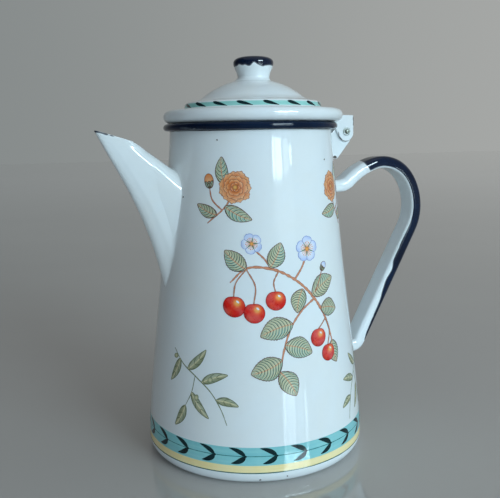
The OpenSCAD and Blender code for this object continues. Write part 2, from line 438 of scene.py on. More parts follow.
M_WHITE = white_enamel()
M_INSIDE = inside_enamel()
M_NAVY = navy_enamel()
M_STEEL = old_steel()
M_CHIP_AND_SHADE = chip_and_shade_metal()
M_WASHER = washer_metal()
M_PAINT = painted("paint_wash")
M_LINE = painted("paint_line", grain=0.12, worn=0.010)
M_LINE.node_tree.nodes["Principled BSDF"].inputs["IOR"].default_value = 1.38

# ---------------------------------------------------------------- body
WALL = [(64.95, 7.0), (64.935, 8), (64.69, 15), (63.5, 30), (61.3, 50), (59.0, 70), (53.2, 120), (48.75, 165), (46.9, 188), (46.85, 192)]
R_OF = Pchip([p[1] for p in WALL], [p[0] for p in WALL])


class Round:
    """A surface turned about Z: where a point (angle, height) lies on it, and which way it faces."""

    def __init__(self, radius, cx=0.0):
        self.radius, self.cx = radius, cx

    def at(self, th, z, off=0.0):
        th, z = np.asarray(th, float), np.asarray(z, float)
        r = self.radius(z)
        s = (self.radius(z + 0.05) - self.radius(z - 0.05)) / 0.1
        k = 1 / np.sqrt(1 + s * s)
        rr = r + off * k
        return np.stack([self.cx + rr * np.cos(th), rr * np.sin(th), z - off * s * k], -1)

    def normal(self, th, z):
        th, z = np.asarray(th, float), np.asarray(z, float)
        s = (self.radius(z + 0.05) - self.radius(z - 0.05)) / 0.1
        k = 1 / np.sqrt(1 + s * s)
        return np.stack([k * np.cos(th), k * np.sin(th), -s * k * np.ones_like(th)], -1)


BODY = Round(R_OF)
HOLES = [(0, 112), (-4, 121), (4, 121), (-4, 130), (4, 130), (-7, 139), (0, 139), (7, 139), (-7, 148), (0, 148), (7, 148), (-4, 157), (4, 157)]


def body_shell():
    """Wall and bottom in one smooth skin, inside and outside, with the straining holes behind the spout."""
    outer = [(0, 0), (15, 0), (30, 0), (45, 0), (54, 0), (57.6, 0)] + arc(57.96, 7, 6.99, -90, 0, 16)
    zs = sorted(set([8, 10] + list(np.arange(12, 104, 3.0)) + [104] + list(np.arange(107, 162, 3.0)) + [164] + list(np.arange(167, 188, 3.0)) + [187.6, 188.4, 189.2]))
    outer += [(float(R_OF(z)), z) for z in zs]
    inner = [(float(R_OF(z)) - 1.0, z) for z in reversed(zs)]
    inner += arc(57.95, 7, 6, 0, -90, 12) + [(54, 1), (45, 1), (30, 1), (15, 1), (0, 1)]
    verts, faces = revolved(outer + inner, closed=False)
    # the patch with the holes, laid out flat as (angle, height) and cut there
    half = 10
    mid = SEG // 2
    lo, hi = 104.0, 164.0
    v = np.array(verts)

    def corner(f):
        c = v[list(f)].mean(0)
        th = (math.atan2(c[1], c[0]) - pi + pi) % (2 * pi) - pi
        return th, c[2]

    kept = []
    lim = half * 2 * pi / SEG
    for f in faces:
        th, z = corner(f)
        if abs(th) < lim and lo < z < hi:
            continue
        kept.append(f)
    extra_v, extra_f = [], []
    loops = []
    for inside in (False, True):
        rows = [z for z in zs if lo <= z <= hi]
        ks = list(range(-half, half + 1))
        border = [(k, rows[0]) for k in ks] + [(half, z) for z in rows[1:]] + [(k, rows[-1]) for k in reversed(ks[:-1])] + [(-half, z) for z in reversed(rows[1:-1])]
        pts = [Vector((k * 2 * pi / SEG * 50, z)) for k, z in border]
        nb = len(pts)
        edges = [(i, (i + 1) % nb) for i in range(nb)]
        rings = []
        for y, z in HOLES:
            start = len(pts)
            for j in range(20):
                a = 2 * pi * j / 20
                yy, zz = y + 2.5 * math.cos(a), z + 2.5 * math.sin(a)
                r = float(R_OF(zz)) - (1.0 if inside else 0.0)
                pts.append(Vector((-math.asin(yy / r) * 50, zz)))      # +Y lies on the falling side of the angle, seen from +X
            edges += [(start + j, start + (j + 1) % 20) for j in range(20)]
            rings.append((start, y, z))
        flat = np.array([[p[0], p[1]] for p in pts])
        for k in range(-half + 1, half):
            for z in rows[1:-1]:
                q = np.array([k * 2 * pi / SEG * 50, z])
                if all(math.hypot(float(R_OF(hz)) * math.sin(-q[0] / 50) - hy, z - hz) > 3.1 for hy, hz in HOLES):
                    pts.append(Vector(q))
        cv, _, cf, orig, _, _ = delaunay_2d_cdt(pts, edges, [], 0, 1e-5)
        ids = {}
        base = len(verts) + len(extra_v)
        for i, p in enumerate(cv):
            th = pi + p[0] / 50
            r = float(R_OF(p[1])) - (1.0 if inside else 0.0)
            ids[i] = base + i
            extra_v.append((r * math.cos(th), r * math.sin(th), p[1]))
        first = {}
        for i, o in enumerate(orig):
            for k in o:
                first[k] = i
        for f in cf:
            c = np.mean([extra_v[ids[i] - len(verts)] for i in f], axis=0)
            if any(math.hypot(c[1] - hy, c[2] - hz) < 2.5 for hy, hz in HOLES):
                continue
            g = [ids[i] for i in f]
            extra_f.append(tuple(reversed(g)) if inside else tuple(g))
        loops.append([[ids[first[s + j]] for j in range(20)] for s, _, _ in rings])
    for a, b in zip(*loops):
        for j in range(20):
            k = (j + 1) % 20
            extra_f.append((a[j], a[k], b[k], b[j]))
    verts = list(verts) + extra_v
    faces = kept + extra_f
    ob = make("pot_body_shell", verts, faces, M_WHITE, "pot")
    bm = bmesh.new()
    bm.from_mesh(ob.data)
    bmesh.ops.remove_doubles(bm, verts=bm.verts, dist=0.02 * MM)
    loose = [x for x in bm.verts if not x.link_faces]
    bmesh.ops.delete(bm, geom=loose, context="VERTS")
    bmesh.ops.recalc_face_normals(bm, faces=bm.faces)
    for e in bm.edges:
        if len(e.link_faces) == 2 and e.calc_face_angle(0) > math.radians(50):
            e.smooth = False
    inside_mat = 1
    for f in bm.faces:
        c = f.calc_center_median() / MM
        r = math.hypot(c.x, c.y)
        if r < float(R_OF(c.z)) - 0.6 if c.z > 8 else (math.hypot(r - 58, c.z - 7) < 6.5 if r > 58 and c.z < 7 else c.z > 0.5 and r < 64.4):
            f.material_index = inside_mat
    bm.to_mesh(ob.data)
    bm.free()
    ob.data.materials.append(M_INSIDE)
    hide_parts("body_wall", "base_pan")
    return ob


body_shell()


def rim():
    """Rolled rim, dipped navy, with the colour running a little way down the inside."""
    prof = [(47.02, 188.0)] + arc(48.5, 190.2, 2.0, 226, 450, 26) + [(47.6, 192.02), (46.8, 191.75), (46.2, 191.3), (45.88, 190.6), (45.82, 189.6), (45.80, 187.6), (46.0, 187.2), (46.4, 187.3)]
    v, f = revolved(prof)
    w = wobble(5, 8, 2, 9)
    out = []
    for p in v:
        th = math.atan2(p[1], p[0])
        if p[2] < 188.1:
            out.append((p[0], p[1], p[2] + 0.18 * float(w(th, 0.3))))
        else:
            out.append(p)
    ob = outward(make("rim_bead_navy", out, f, M_NAVY, "pot"))
    return ob


rim()


# ---------------------------------------------------------------- bands
def band(name, z0, z1, mat, surf=BODY, off=0.03, body="pot", seg=SEG, edge=0.0, seed=1):
    """A thin fired band on a turned surface, closed, with slightly uneven edges."""
    w0, w1 = wobble(seed, 6, 1, 7), wobble(seed + 50, 6, 1, 7)
    rows = max(3, int((z1 - z0) / 1.5) + 1)
    verts, faces = [], []
    for k in range(seg):
        th = 2 * pi * k / seg
        a = z0 + edge * float(w0(math.cos(th) * 2, math.sin(th) * 2))
        b = z1 + edge * float(w1(math.cos(th) * 2, math.sin(th) * 2))
        zz = np.linspace(a, b, rows)
        top = surf.at(np.full(rows, th), zz, off)
        low = surf.at(np.full(rows, th), zz[::-1], -0.08)
        verts += [tuple(p) for p in top] + [tuple(p) for p in low]
    n = 2 * rows
    for k in range(seg):
        l = (k + 1) % seg
        for i in range(n):
            j = (i + 1) % n
            faces.append((k * n + i, l * n + i, l * n + j, k * n + j))
    ob = outward(make(name, verts, faces, mat, body))
    ob.data.set_sharp_from_angle(angle=math.radians(40))
    return ob


M_TURQ = band_paint("paint_turquoise", lin((128, 199, 205)), lin((146, 210, 213)))
M_YELL = band_paint("paint_yellow", lin((244, 226, 160)), lin((250, 236, 184)))
M_DKLINE = band_paint("paint_dark_line", lin((42, 92, 88)), lin((58, 110, 104)))
band("base_band_turquoise", 11.75, 21.73, M_TURQ, edge=0.06, seed=3)
band("base_band_yellow", 7.84, 11.75, M_YELL, edge=0.06, seed=7)
band("base_band_line", 7.30, 7.86, M_DKLINE, edge=0.05, seed=9, off=0.04)


# ---------------------------------------------------------------- painted shapes on turned surfaces
class Art:
    """Flat shapes, in millimetres right and up from a place on a turned surface, laid on it as thin closed skins."""

    def __init__(self, surf, th0, z0, turn=0.0, size=1.0, mirror=False, body="pot"):
        self.surf, self.th0, self.z0, self.body = surf, th0, z0, body
        self.turn, self.size, self.mirror = math.radians(turn), size, mirror
        s = (surf.radius(z0 + 1) - surf.radius(z0 - 1)) / 2
        self.lean = 1 / math.sqrt(1 + float(s) ** 2)
        self.groups = {}

    def place(self, p):
        p = np.asarray(p, float) * self.size
        x, y = p[:, 0] * (-1 if self.mirror else 1), p[:, 1]
        c, s = math.cos(self.turn), math.sin(self.turn)
        x, y = c * x - s * y, s * x + c * y
        z = self.z0 + y * self.lean
        return self.th0 + x / self.surf.radius(z), z

    def add(self, group, layer, pts, tris, cols):
        self.groups.setdefault(group, []).append((layer, np.asarray(pts, float), tris, np.asarray(cols, float)))

    def fill(self, group, layer, outline, color, step=0.95):
        """A filled outline. color is a function of points (n, 2) giving (n, 3)."""
        o = resampled(outline, step * 0.9)
        n = len(o)
        lo, hi = o.min(0), o.max(0)
        pts = [Vector(p) for p in o]
        xs = np.arange(lo[0], hi[0], step)
        for r, y in enumerate(np.arange(lo[1] + step / 2, hi[1], step * 0.87)):
            row = np.column_stack([xs + (r % 2) * step / 2, np.full(len(xs), y)])
            ok = in_polygon(row, o)
            for p in row[ok]:
                if np.min(np.hypot(*(o - p).T)) > step * 0.5:
                    pts.append(Vector(p))
        cv, _, cf, _, _, _ = delaunay_2d_cdt(pts, [], [list(range(n))], 1, 1e-5)
        p = np.array([[q[0], q[1]] for q in cv])
        self.add(group, layer, p, [tuple(f) for f in cf], color(p))

    def stroke(self, group, layer, path, width, color, step=0.7, taper=(1.0, 1.0), closed=False, seed=0):
        """A brush line along a path; width in millimetres, thinning to taper[0] and taper[1] of it at its ends."""
        p = resampled(path, step, closed)
        n = len(p)
        if n < 2:
            return
        if closed:
            d = np.roll(p, -1, 0) - np.roll(p, 1, 0)
        else:
            d = np.gradient(p, axis=0)
        d /= np.maximum(np.hypot(*d.T), 1e-9)[:, None]
        nn = np.column_stack([-d[:, 1], d[:, 0]])
        t = np.linspace(0, 1, n)
        w = np.ones(n) if closed else np.interp(t, [0, 0.25, 0.75, 1], [taper[0], 1, 1, taper[1]])
        wob = wobble(seed + 11, 4, 0.6, 2.5)
        w = width / 2 * w * (1 + 0.22 * wob(p[:, 0], p[:, 1]))
        a, b = p + nn * w[:, None], p - nn * w[:, None]
        pts = np.concatenate([a, b])
        tris = []
        for i in range(n if closed else n - 1):
            j = (i + 1) % n
            tris.append((i, n + i, n + j, j))
        col = color(pts) if callable(color) else np.tile(color, (2 * n, 1))
        self.add(group, layer, pts, tris, col)

    def build(self, name, mats):
        made = []
        for group, shapes in self.groups.items():
            verts, faces, cols, norm = [], [], [], []
            for layer, pts, tris, col in shapes:
                th, z = self.place(pts)
                off = 0.03 + 0.014 * layer
                top = self.surf.at(th, z, off)
                low = self.surf.at(th, z, -0.06)
                nrm = self.surf.normal(th, z)
                base, n = len(verts), len(pts)
                verts += list(top) + list(low)
                cols += list(col) + list(col)
                a, b, c = top[tris[0][0]], top[tris[0][1]], top[tris[0][2]]
                flip = np.dot(np.cross(b - a, c - a), nrm[tris[0][0]]) < 0
                used = {}
                for t in tris:
                    if flip:
                        t = tuple(reversed(t))
                    faces.append(tuple(base + i for i in t))
                    norm += [nrm[i] for i in t]
                    for i in range(len(t)):
                        e = (t[i], t[(i + 1) % len(t)])
                        used[e] = used.get(e, 0) + 1
                for t in tris:
                    if not flip:
                        t = tuple(reversed(t))
                    faces.append(tuple(base + n + i for i in t))
                    norm += [-nrm[i] for i in t]
                for (i, j) in list(used):
                    if (j, i) not in used:
                        quad = (base + j, base + i, base + n + i, base + n + j)
                        faces.append(quad)
                        q = [np.asarray(verts[k]) for k in quad]
                        m = np.cross(q[1] - q[0], q[3] - q[0])
                        m = m / max(np.linalg.norm(m), 1e-12)
                        norm += [m] * 4
            ob = make(f"{name}_{group}", verts, faces, mats[group], self.body, colors=cols, normals=norm)
            made.append(ob)
        return made


def resampled(path, step, closed=True):
    p = np.asarray(path, float)
    if closed:
        p = np.vstack([p, p[:1]])
    d = np.hypot(*np.diff(p, axis=0).T)
    keep = np.concatenate([[True], d > 1e-7])
    p = p[keep]
    d = np.hypot(*np.diff(p, axis=0).T)
    s = np.concatenate([[0], np.cumsum(d)])
    n = max(3 if closed else 2, int(round(s[-1] / step)) + 1)
    t = np.linspace(0, s[-1], n)
    q = np.column_stack([np.interp(t, s, p[:, 0]), np.interp(t, s, p[:, 1])])
    return q[:-1] if closed else q


def in_polygon(pts, poly):
    x, y = pts[:, 0], pts[:, 1]
    inside = np.zeros(len(pts), bool)
    px, py = poly[:, 0], poly[:, 1]
    qx, qy = np.roll(px, -1), np.roll(py, -1)
    for a, b, c, d in zip(px, py, qx, qy):
        if b == d:
            continue
        hit = ((b > y) != (d > y)) & (x < (c - a) * (y - b) / (d - b) + a)
        inside ^= hit
    return inside


def curve(points, n=40):
    """A smooth open curve through points."""
    p = np.asarray(points, float)
    d = np.concatenate([[0], np.cumsum(np.hypot(*np.diff(p, axis=0).T))])
    t = np.linspace(0, d[-1], n)
    m = np.gradient(p, d, axis=0) if len(p) > 2 else np.tile((p[-1] - p[0]) / d[-1], (2, 1))
    i = np.clip(np.searchsorted(d, t, side="right") - 1, 0, len(d) - 2)
    h = (d[i + 1] - d[i])[:, None]
    s = (t - d[i])[:, None] / h
    return p[i] * (2 * s**3 - 3 * s**2 + 1) + m[i] * h * (s**3 - 2 * s**2 + s) + p[i + 1] * (3 * s**2 - 2 * s**3) + m[i + 1] * h * (s**3 - s**2)


def mixc(a, b, f):
    f = np.asarray(f, float)[..., None]
    return np.asarray(a) * (1 - f) + np.asarray(b) * f


# ---------------------------------------------------------------- leaf garlands of the bands
DARK = np.array(lin((4, 34, 38)))
DARK2 = np.array(lin((8, 50, 54)))


def brush_leaf(base, tip, width, bow, lean=0.42, n=22):
    """A one-stroke leaf: round where the brush is pressed near its base, drawn out to a fine point at its tip."""
    b, t = np.array(base, float), np.array(tip, float)
    d = t - b
    length = np.hypot(*d)
    d /= length
    nrm = np.array([-d[1], d[0]])
    s = np.linspace(0, 1, n)
    mid = b + d * (s * length)[:, None] + nrm * (bow * 4 * s * (1 - s))[:, None]
    w = width / 2 * (np.sin(pi * s ** 0.62) ** 0.85)
    w[0] = w[-1] = 0
    return np.vstack([mid + nrm * w[:, None], (mid - nrm * w[:, None])[1:-1][::-1]]), mid


def base_garland():
    art = Art(BODY, 0.0, 16.9)
    r = float(R_OF(16.9))
    wob = wobble(21, 5, 0.3, 1.1)

    def ink(p):
        return mixc(DARK, DARK2, 0.5 + 0.5 * wob(p[:, 0], p[:, 1]))

    ring = []
    for k in range(24):
        a0 = math.radians(-180 + 0.8 + 15 * k)
        x0 = a0 * r
        j = float(wob(k * 1.7, 3.1))
        up, _ = brush_leaf((x0 - 0.5, 0.35), (x0 - 9.2 - 0.3 * j, 4.45), 2.75 + 0.2 * j, -0.75)
        dn, _ = brush_leaf((x0 - 0.5, -0.25), (x0 - 8.9 + 0.3 * j, -4.15), 2.7 - 0.2 * j, 0.75)
        art.fill("leaves", 2, up, ink, 0.8)
        art.fill("leaves", 3, dn, ink, 0.8)
        tipc = [(x0 + 0.55 * math.cos(t) - 0.35, 0.62 * math.sin(t)) for t in np.linspace(0, 2 * pi, 12, endpoint=False)]
        art.fill("leaves", 4, tipc, ink, 0.5)
    line = [(math.radians(a) * r, 0.12 * float(wob(a * 0.05, 1.0))) for a in np.arange(-180, 180.01, 1.5)]
    art.stroke("stem", 1, line, 0.42, np.array(lin((48, 128, 130))), 1.2)
    art.build("base_garland", {"leaves": M_LINE, "stem": M_LINE})


base_garland()

# ---------------------------------------------------------------- spout
RIDGE = [(-91.1, 188.75), (-83.3, 173.8), (-78.3, 164.5), (-73.2, 154.3), (-68.1, 142.7), (-63.0, 128.9), (-60.3, 120.0), (-57.9, 110.7), (-55.6, 100.3)]
TOP = [(-70.4, 182.0), (-68.6, 181.4), (-62.2, 177.2), (-56.0, 172.8), (-52.4, 170.2), (-49.6, 168.6)]
W_ROOT = [(0, 0), (0.01, 1.3), (0.069, 4.4), (0.127, 6.3), (0.2, 8.0), (0.268, 9.6), (0.362, 10.9), (0.46, 12.1), (0.537, 12.9), (0.625, 13.7), (0.698, 14.1), (0.767, 14.4), (0.86, 13.7), (0.924, 12.0), (0.966, 9.2), (0.988, 5.4), (1, 0)]
W_MOUTH = [(0, 0), (0.02, 1.1), (0.06, 1.75), (0.14, 2.45), (0.28, 3.35), (0.45, 4.3), (0.6, 5.1), (0.73, 5.75), (0.83, 6.05), (0.90, 5.9), (0.95, 5.1), (0.98, 3.6), (0.995, 1.7), (1, 0)]


def by_angle(table):
    return Pchip([math.acos(1 - 2 * q) for q, _ in table], [w for _, w in table])


def along(points):
    p = np.array(points, float)
    d = np.concatenate([[0], np.cumsum(np.hypot(*np.diff(p, axis=0).T))])
    return Pchip(d / d[-1], p)


def spout():
    half = 44
    phi = np.linspace(0, pi, half + 1)
    q = (1 - np.cos(phi)) / 2
    wr, wm = by_angle(W_ROOT)(phi), by_angle(W_MOUTH)(phi)
    F, B = along(RIDGE), along(TOP)

    def surface(ts, thick):
        """Rows of half sections, each (half+1, 3) with y >= 0."""
        f0, f1, b0, b1 = F(0.0)[0] if F(0.0).ndim > 1 else F(0.0), F(1.0), B(0.0), B(1.0)
        f0, f1, b0, b1 = [np.asarray(v).reshape(-1) for v in (f0, f1, b0, b1)]
        # thickness pulls the section in from its ridge, its top and its sides
        scale_m = (wm.max() - thick) / wm.max()
        scale_r = (wr.max() - thick) / wr.max()
        m_dir = (b0 - f0) / np.linalg.norm(b0 - f0)
        r_dir = (b1 - f1) / np.linalg.norm(b1 - f1)
        mf, mb = f0 + m_dir * thick * 2.6, b0 - m_dir * thick
        rf, rb = f1 + r_dir * thick * 7.0, b1 - r_dir * thick * 1.3
        M = np.column_stack([mf[0] + (mb - mf)[0] * q, wm * scale_m, mf[1] + (mb - mf)[1] * q])
        zr = rf[1] + (rb - rf)[1] * q
        yr = wr * scale_r
        # outline without its fillet, and which way the fillet spreads
        fl = np.interp(q, [0, 0.12, 0.5, 0.9, 1], [0.0, 0.7, 2.0, 2.4, 2.2]) * (0.0 if thick else 1.0)
        ty, tz = np.gradient(yr), np.gradient(zr)
        n_y, n_z = tz, -ty
        L = np.maximum(np.hypot(n_y, n_z), 1e-9)
        n_y, n_z = n_y / L, n_z / L
        n_y[0], n_z[0], n_y[-1], n_z[-1] = 0, -1, 0, 1
        yb, zb = yr - n_y * fl, zr - n_z * fl
        yb[0] = yb[-1] = 0
        yb = np.maximum(yb, 0)
        xb = -np.sqrt(np.maximum(R_OF(zb) ** 2 - yb**2, 1))
        Rt = np.column_stack([xb, yb, zb])
        rows = []
        f1b, b1b = np.array([xb[0], zb[0]]), np.array([xb[-1], zb[-1]])
        def roof(t):
            at = float(np.interp(t, [0.0, 0.12, 0.3, 0.5, 0.8, 1.0], [0.60, 0.62, 0.68, 0.745, 0.805, 0.81]))
            deep = float(np.interp(t, [0.0, 0.05, 0.14, 0.3, 0.55, 0.85, 1.0], [0.0, 0.0, 1.25, 1.45, 1.15, 1.0, 0.35]))
            return 1 - deep * Pchip([-1, 0, 0.1, 0.2, 0.42, 0.62, 0.83, 0.94, 1.0], [0, 0, 0.02, 0.055, 0.13, 0.21, 0.27, 0.27, 0.2])((q - at) / (1 - at))

        for t in ts:
            cf = np.asarray(F(t)).reshape(-1) - (f0 * (1 - t) + f1 * t)
            cb = np.asarray(B(t)).reshape(-1) - (b0 * (1 - t) + b1 * t)
            C = np.outer(1 - q, cf) + np.outer(q, cb)
            P = M * (1 - t) + Rt * t
            P = P + np.column_stack([C[:, 0], np.zeros(half + 1), C[:, 1]])
            P[:, 1] *= roof(t)
            rows.append(P)
        rows = np.array(rows)
        # spread onto the body: distance left along each line, in millimetres
        seg = np.linalg.norm(np.diff(rows, axis=0), axis=2)
        left = np.concatenate([np.cumsum(seg[::-1], 0)[::-1], np.zeros((1, half + 1))])
        D = np.interp(q, [0, 0.15, 0.5, 1], [3.0, 3.5, 4.5, 4.0])
        u = np.clip(1 - left / D, 0, 1)
        g = 1 - np.sqrt(np.maximum(1 - u * u, 0))
        rows[:, :, 1] += g * n_y * fl
        rows[:, :, 2] += g * n_z * fl
        x_s = -np.sqrt(np.maximum(R_OF(rows[:, :, 2]) ** 2 - rows[:, :, 1] ** 2, 1))
        rows[:, :, 0] += (x_s - rows[:, :, 0]) * u**3
        inside = rows[:, :, 0] > x_s
        rows[:, :, 0] = np.where(inside, x_s, rows[:, :, 0])
        rows[:, 0, 1] = rows[:, -1, 1] = 0
        return rows

    t1 = np.concatenate([np.linspace(0, 0.04, 5), np.linspace(0.06, 0.86, 34), np.linspace(0.875, 0.96, 14), 1 - 0.04 * (1 - np.linspace(0.08, 1, 16)) ** 1.6])
    outer = surface(t1, 0.0)
    t2 = np.concatenate([np.linspace(0, 0.9, 26), [0.95, 1.0]])
    inner = surface(t2, 1.0)
    # lip: half a turn from the outer to the inner edge
    a, b = outer[0], inner[0]
    up = np.array([0.31, 0, 0.95])
    c = (a + b) / 2
    lip = []
    for ang in (35, 65, 90, 115, 145):
        s = math.radians(ang)
        lip.append(c + (a - c) * math.cos(s) + up * 0.42 * math.sin(s))
    sink = outer[-1].copy()
    sink[:, 0] += 0.6
    sink_in = inner[-1].copy()
    sink_in[:, 0] += 0.6
    half_rows = [sink] + list(outer[::-1]) + lip + list(inner) + [sink_in]
    n_lip0 = 1 + len(outer)
    ring = 2 * half
    verts = []
    for row in half_rows:
        full = list(row) + [np.array([p[0], -p[1], p[2]]) for p in row[-2:0:-1]]
        verts += full
    faces = []
    R = len(half_rows)
    for i in range(R):
        k = (i + 1) % R
        for j in range(ring):
            l = (j + 1) % ring
            faces.append((i * ring + j, i * ring + l, k * ring + l, k * ring + j))
    # how far inside the navy lip each point is, in millimetres
    v = np.array(verts)
    lip_line = np.concatenate([outer[0], outer[0] * [1, -1, 1]])
    d_lip = np.min(np.linalg.norm(v[:, None, :] - lip_line[None], axis=2), axis=1)
    tip_d = np.hypot(v[:, 0] + 91.1, v[:, 2] - 188.8)
    worn = wobble(33, 7, 0.5, 1.8)
    reach = np.interp(tip_d, [0, 3, 6.4, 7.3, 8.6, 10.2, 12], [1.2, 0.8, 0.5, -0.35, 0.45, 0.1, -1.0]) + 0.30 * worn(v[:, 0], v[:, 1] * 2)
    dip = reach - np.minimum(d_lip, 6)
    row_of = np.repeat(np.arange(R), ring)
    dip = np.where(row_of > n_lip0 + len(lip) + 3, -3, dip)
    ob = outward(make("spout_shell", verts, faces, two_tone("enamel_spout", "dip", 0.28), "pot", attrs={"dip": dip}))
    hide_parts("spout")
    return ob, outer


SPOUT, SPOUT_OUT = spout()


# ---------------------------------------------------------------- handle
def handle_path():
    """The strap's outer face as (x, z), from inside the body at the top to inside it at the bottom, with outward normals."""
    step = 0.25
    d = lambda a: np.array([math.cos(math.radians(a)), math.sin(math.radians(a))])
    at, heading = np.array([97.8, 120.2]) + 54.8 * d(133) - np.array([16, 3]), 0.0
    pts = []

    def run(length):
        nonlocal at
        k = max(1, int(round(length / step)))
        pts.extend(at + d(heading) * length * i / k for i in range(k))
        at = at + d(heading) * length

    def turn(r, by):
        """Turn clockwise by an angle, or the other way for a negative one."""
        nonlocal at, heading
        sign = 1 if by > 0 else -1
        c = at + r * sign * d(heading - 90)
        k = max(1, int(round(abs(math.radians(by)) * r / step)))
        pts.extend(c - r * sign * d(heading - 90 - by * i / k) for i in range(k))
        heading -= by
        at = c - r * sign * d(heading - 90)

    run(16)
    turn(3, -43)
    for r, to in ((51.8, math.degrees(math.asin(0.28))), (28.7, -math.degrees(math.asin(0.8))), (36.8, -90), (32.7, -119.1)):
        turn(r, heading - to)
    rest = heading + 180
    foot, rb = 45.1, 9.5
    run((at[1] - foot - rb * (1 + math.cos(math.radians(heading)))) / -math.sin(math.radians(heading)))
    turn(rb, rest)
    run(14.01)
    p = np.array(pts)
    k = np.arange(-30, 31) * step
    g = np.exp(-((k / 1.7) ** 2) / 2)
    g /= g.sum()
    pad = np.vstack([p[0] + (p[0] - p[1]) * np.arange(30, 0, -1)[:, None], p, p[-1] + (p[-1] - p[-2]) * np.arange(1, 31)[:, None]])
    p = np.column_stack([np.convolve(pad[:, i], g, "valid") for i in (0, 1)])
    d = np.gradient(p, axis=0)
    d /= np.hypot(*d.T)[:, None]
    n = np.column_stack([-d[:, 1], d[:, 0]])
    return p, n


STRAP_W, STRAP_T = 7.0, 7.9
DEPTH = Pchip([0, 18, 30, 45, 60, 80, 105, 125, 190, 205, 224], [7.4, 7.4, 7.2, 7.2, 7.4, 7.6, 8.1, 8.4, 8.4, 8.0, 7.9])      # of the strap, along its path


def strap_section(n_side=7, n_corner=7):
    """Round the strap: (depth from the outer face, across), with its own outward direction."""
    T, W = STRAP_T, STRAP_W
    ro, ri = 3.3, 2.3
    pts, nor = [], []

    def corner(cu, cv, r, a0):
        for a in np.linspace(a0, a0 + 90, n_corner):
            s, c = math.sin(math.radians(a)), math.cos(math.radians(a))
            pts.append((cu - r * c, cv + r * s))
            nor.append((c, s))

    def side(p, q, m, n):
        for t in np.linspace(0, 1, n + 2)[1:-1]:
            pts.append((p[0] * (1 - t) + q[0] * t, p[1] * (1 - t) + q[1] * t))
            nor.append(m)

    # outer face (depth 0) from -v to +v, then the +v side, inner face, -v side
    side((0, -W + ro), (0, W - ro), (1, 0), n_side)
    corner(ro, W - ro, ro, 0)
    side((ro, W), (T - ri, W), (0, 1), 3)
    corner(T - ri, W - ri, ri, 90)
    side((T, W - ri), (T, -W + ri), (-1, 0), n_side)
    corner(T - ri, -W + ri, ri, 180)
    side((T - ri, -W), (ro, -W), (0, -1), 3)
    corner(ro, -W + ro, ro, 270)
    return np.array(pts), np.array(nor)


CAM_EYE = np.array([-168.9, -362.2, 182.9])


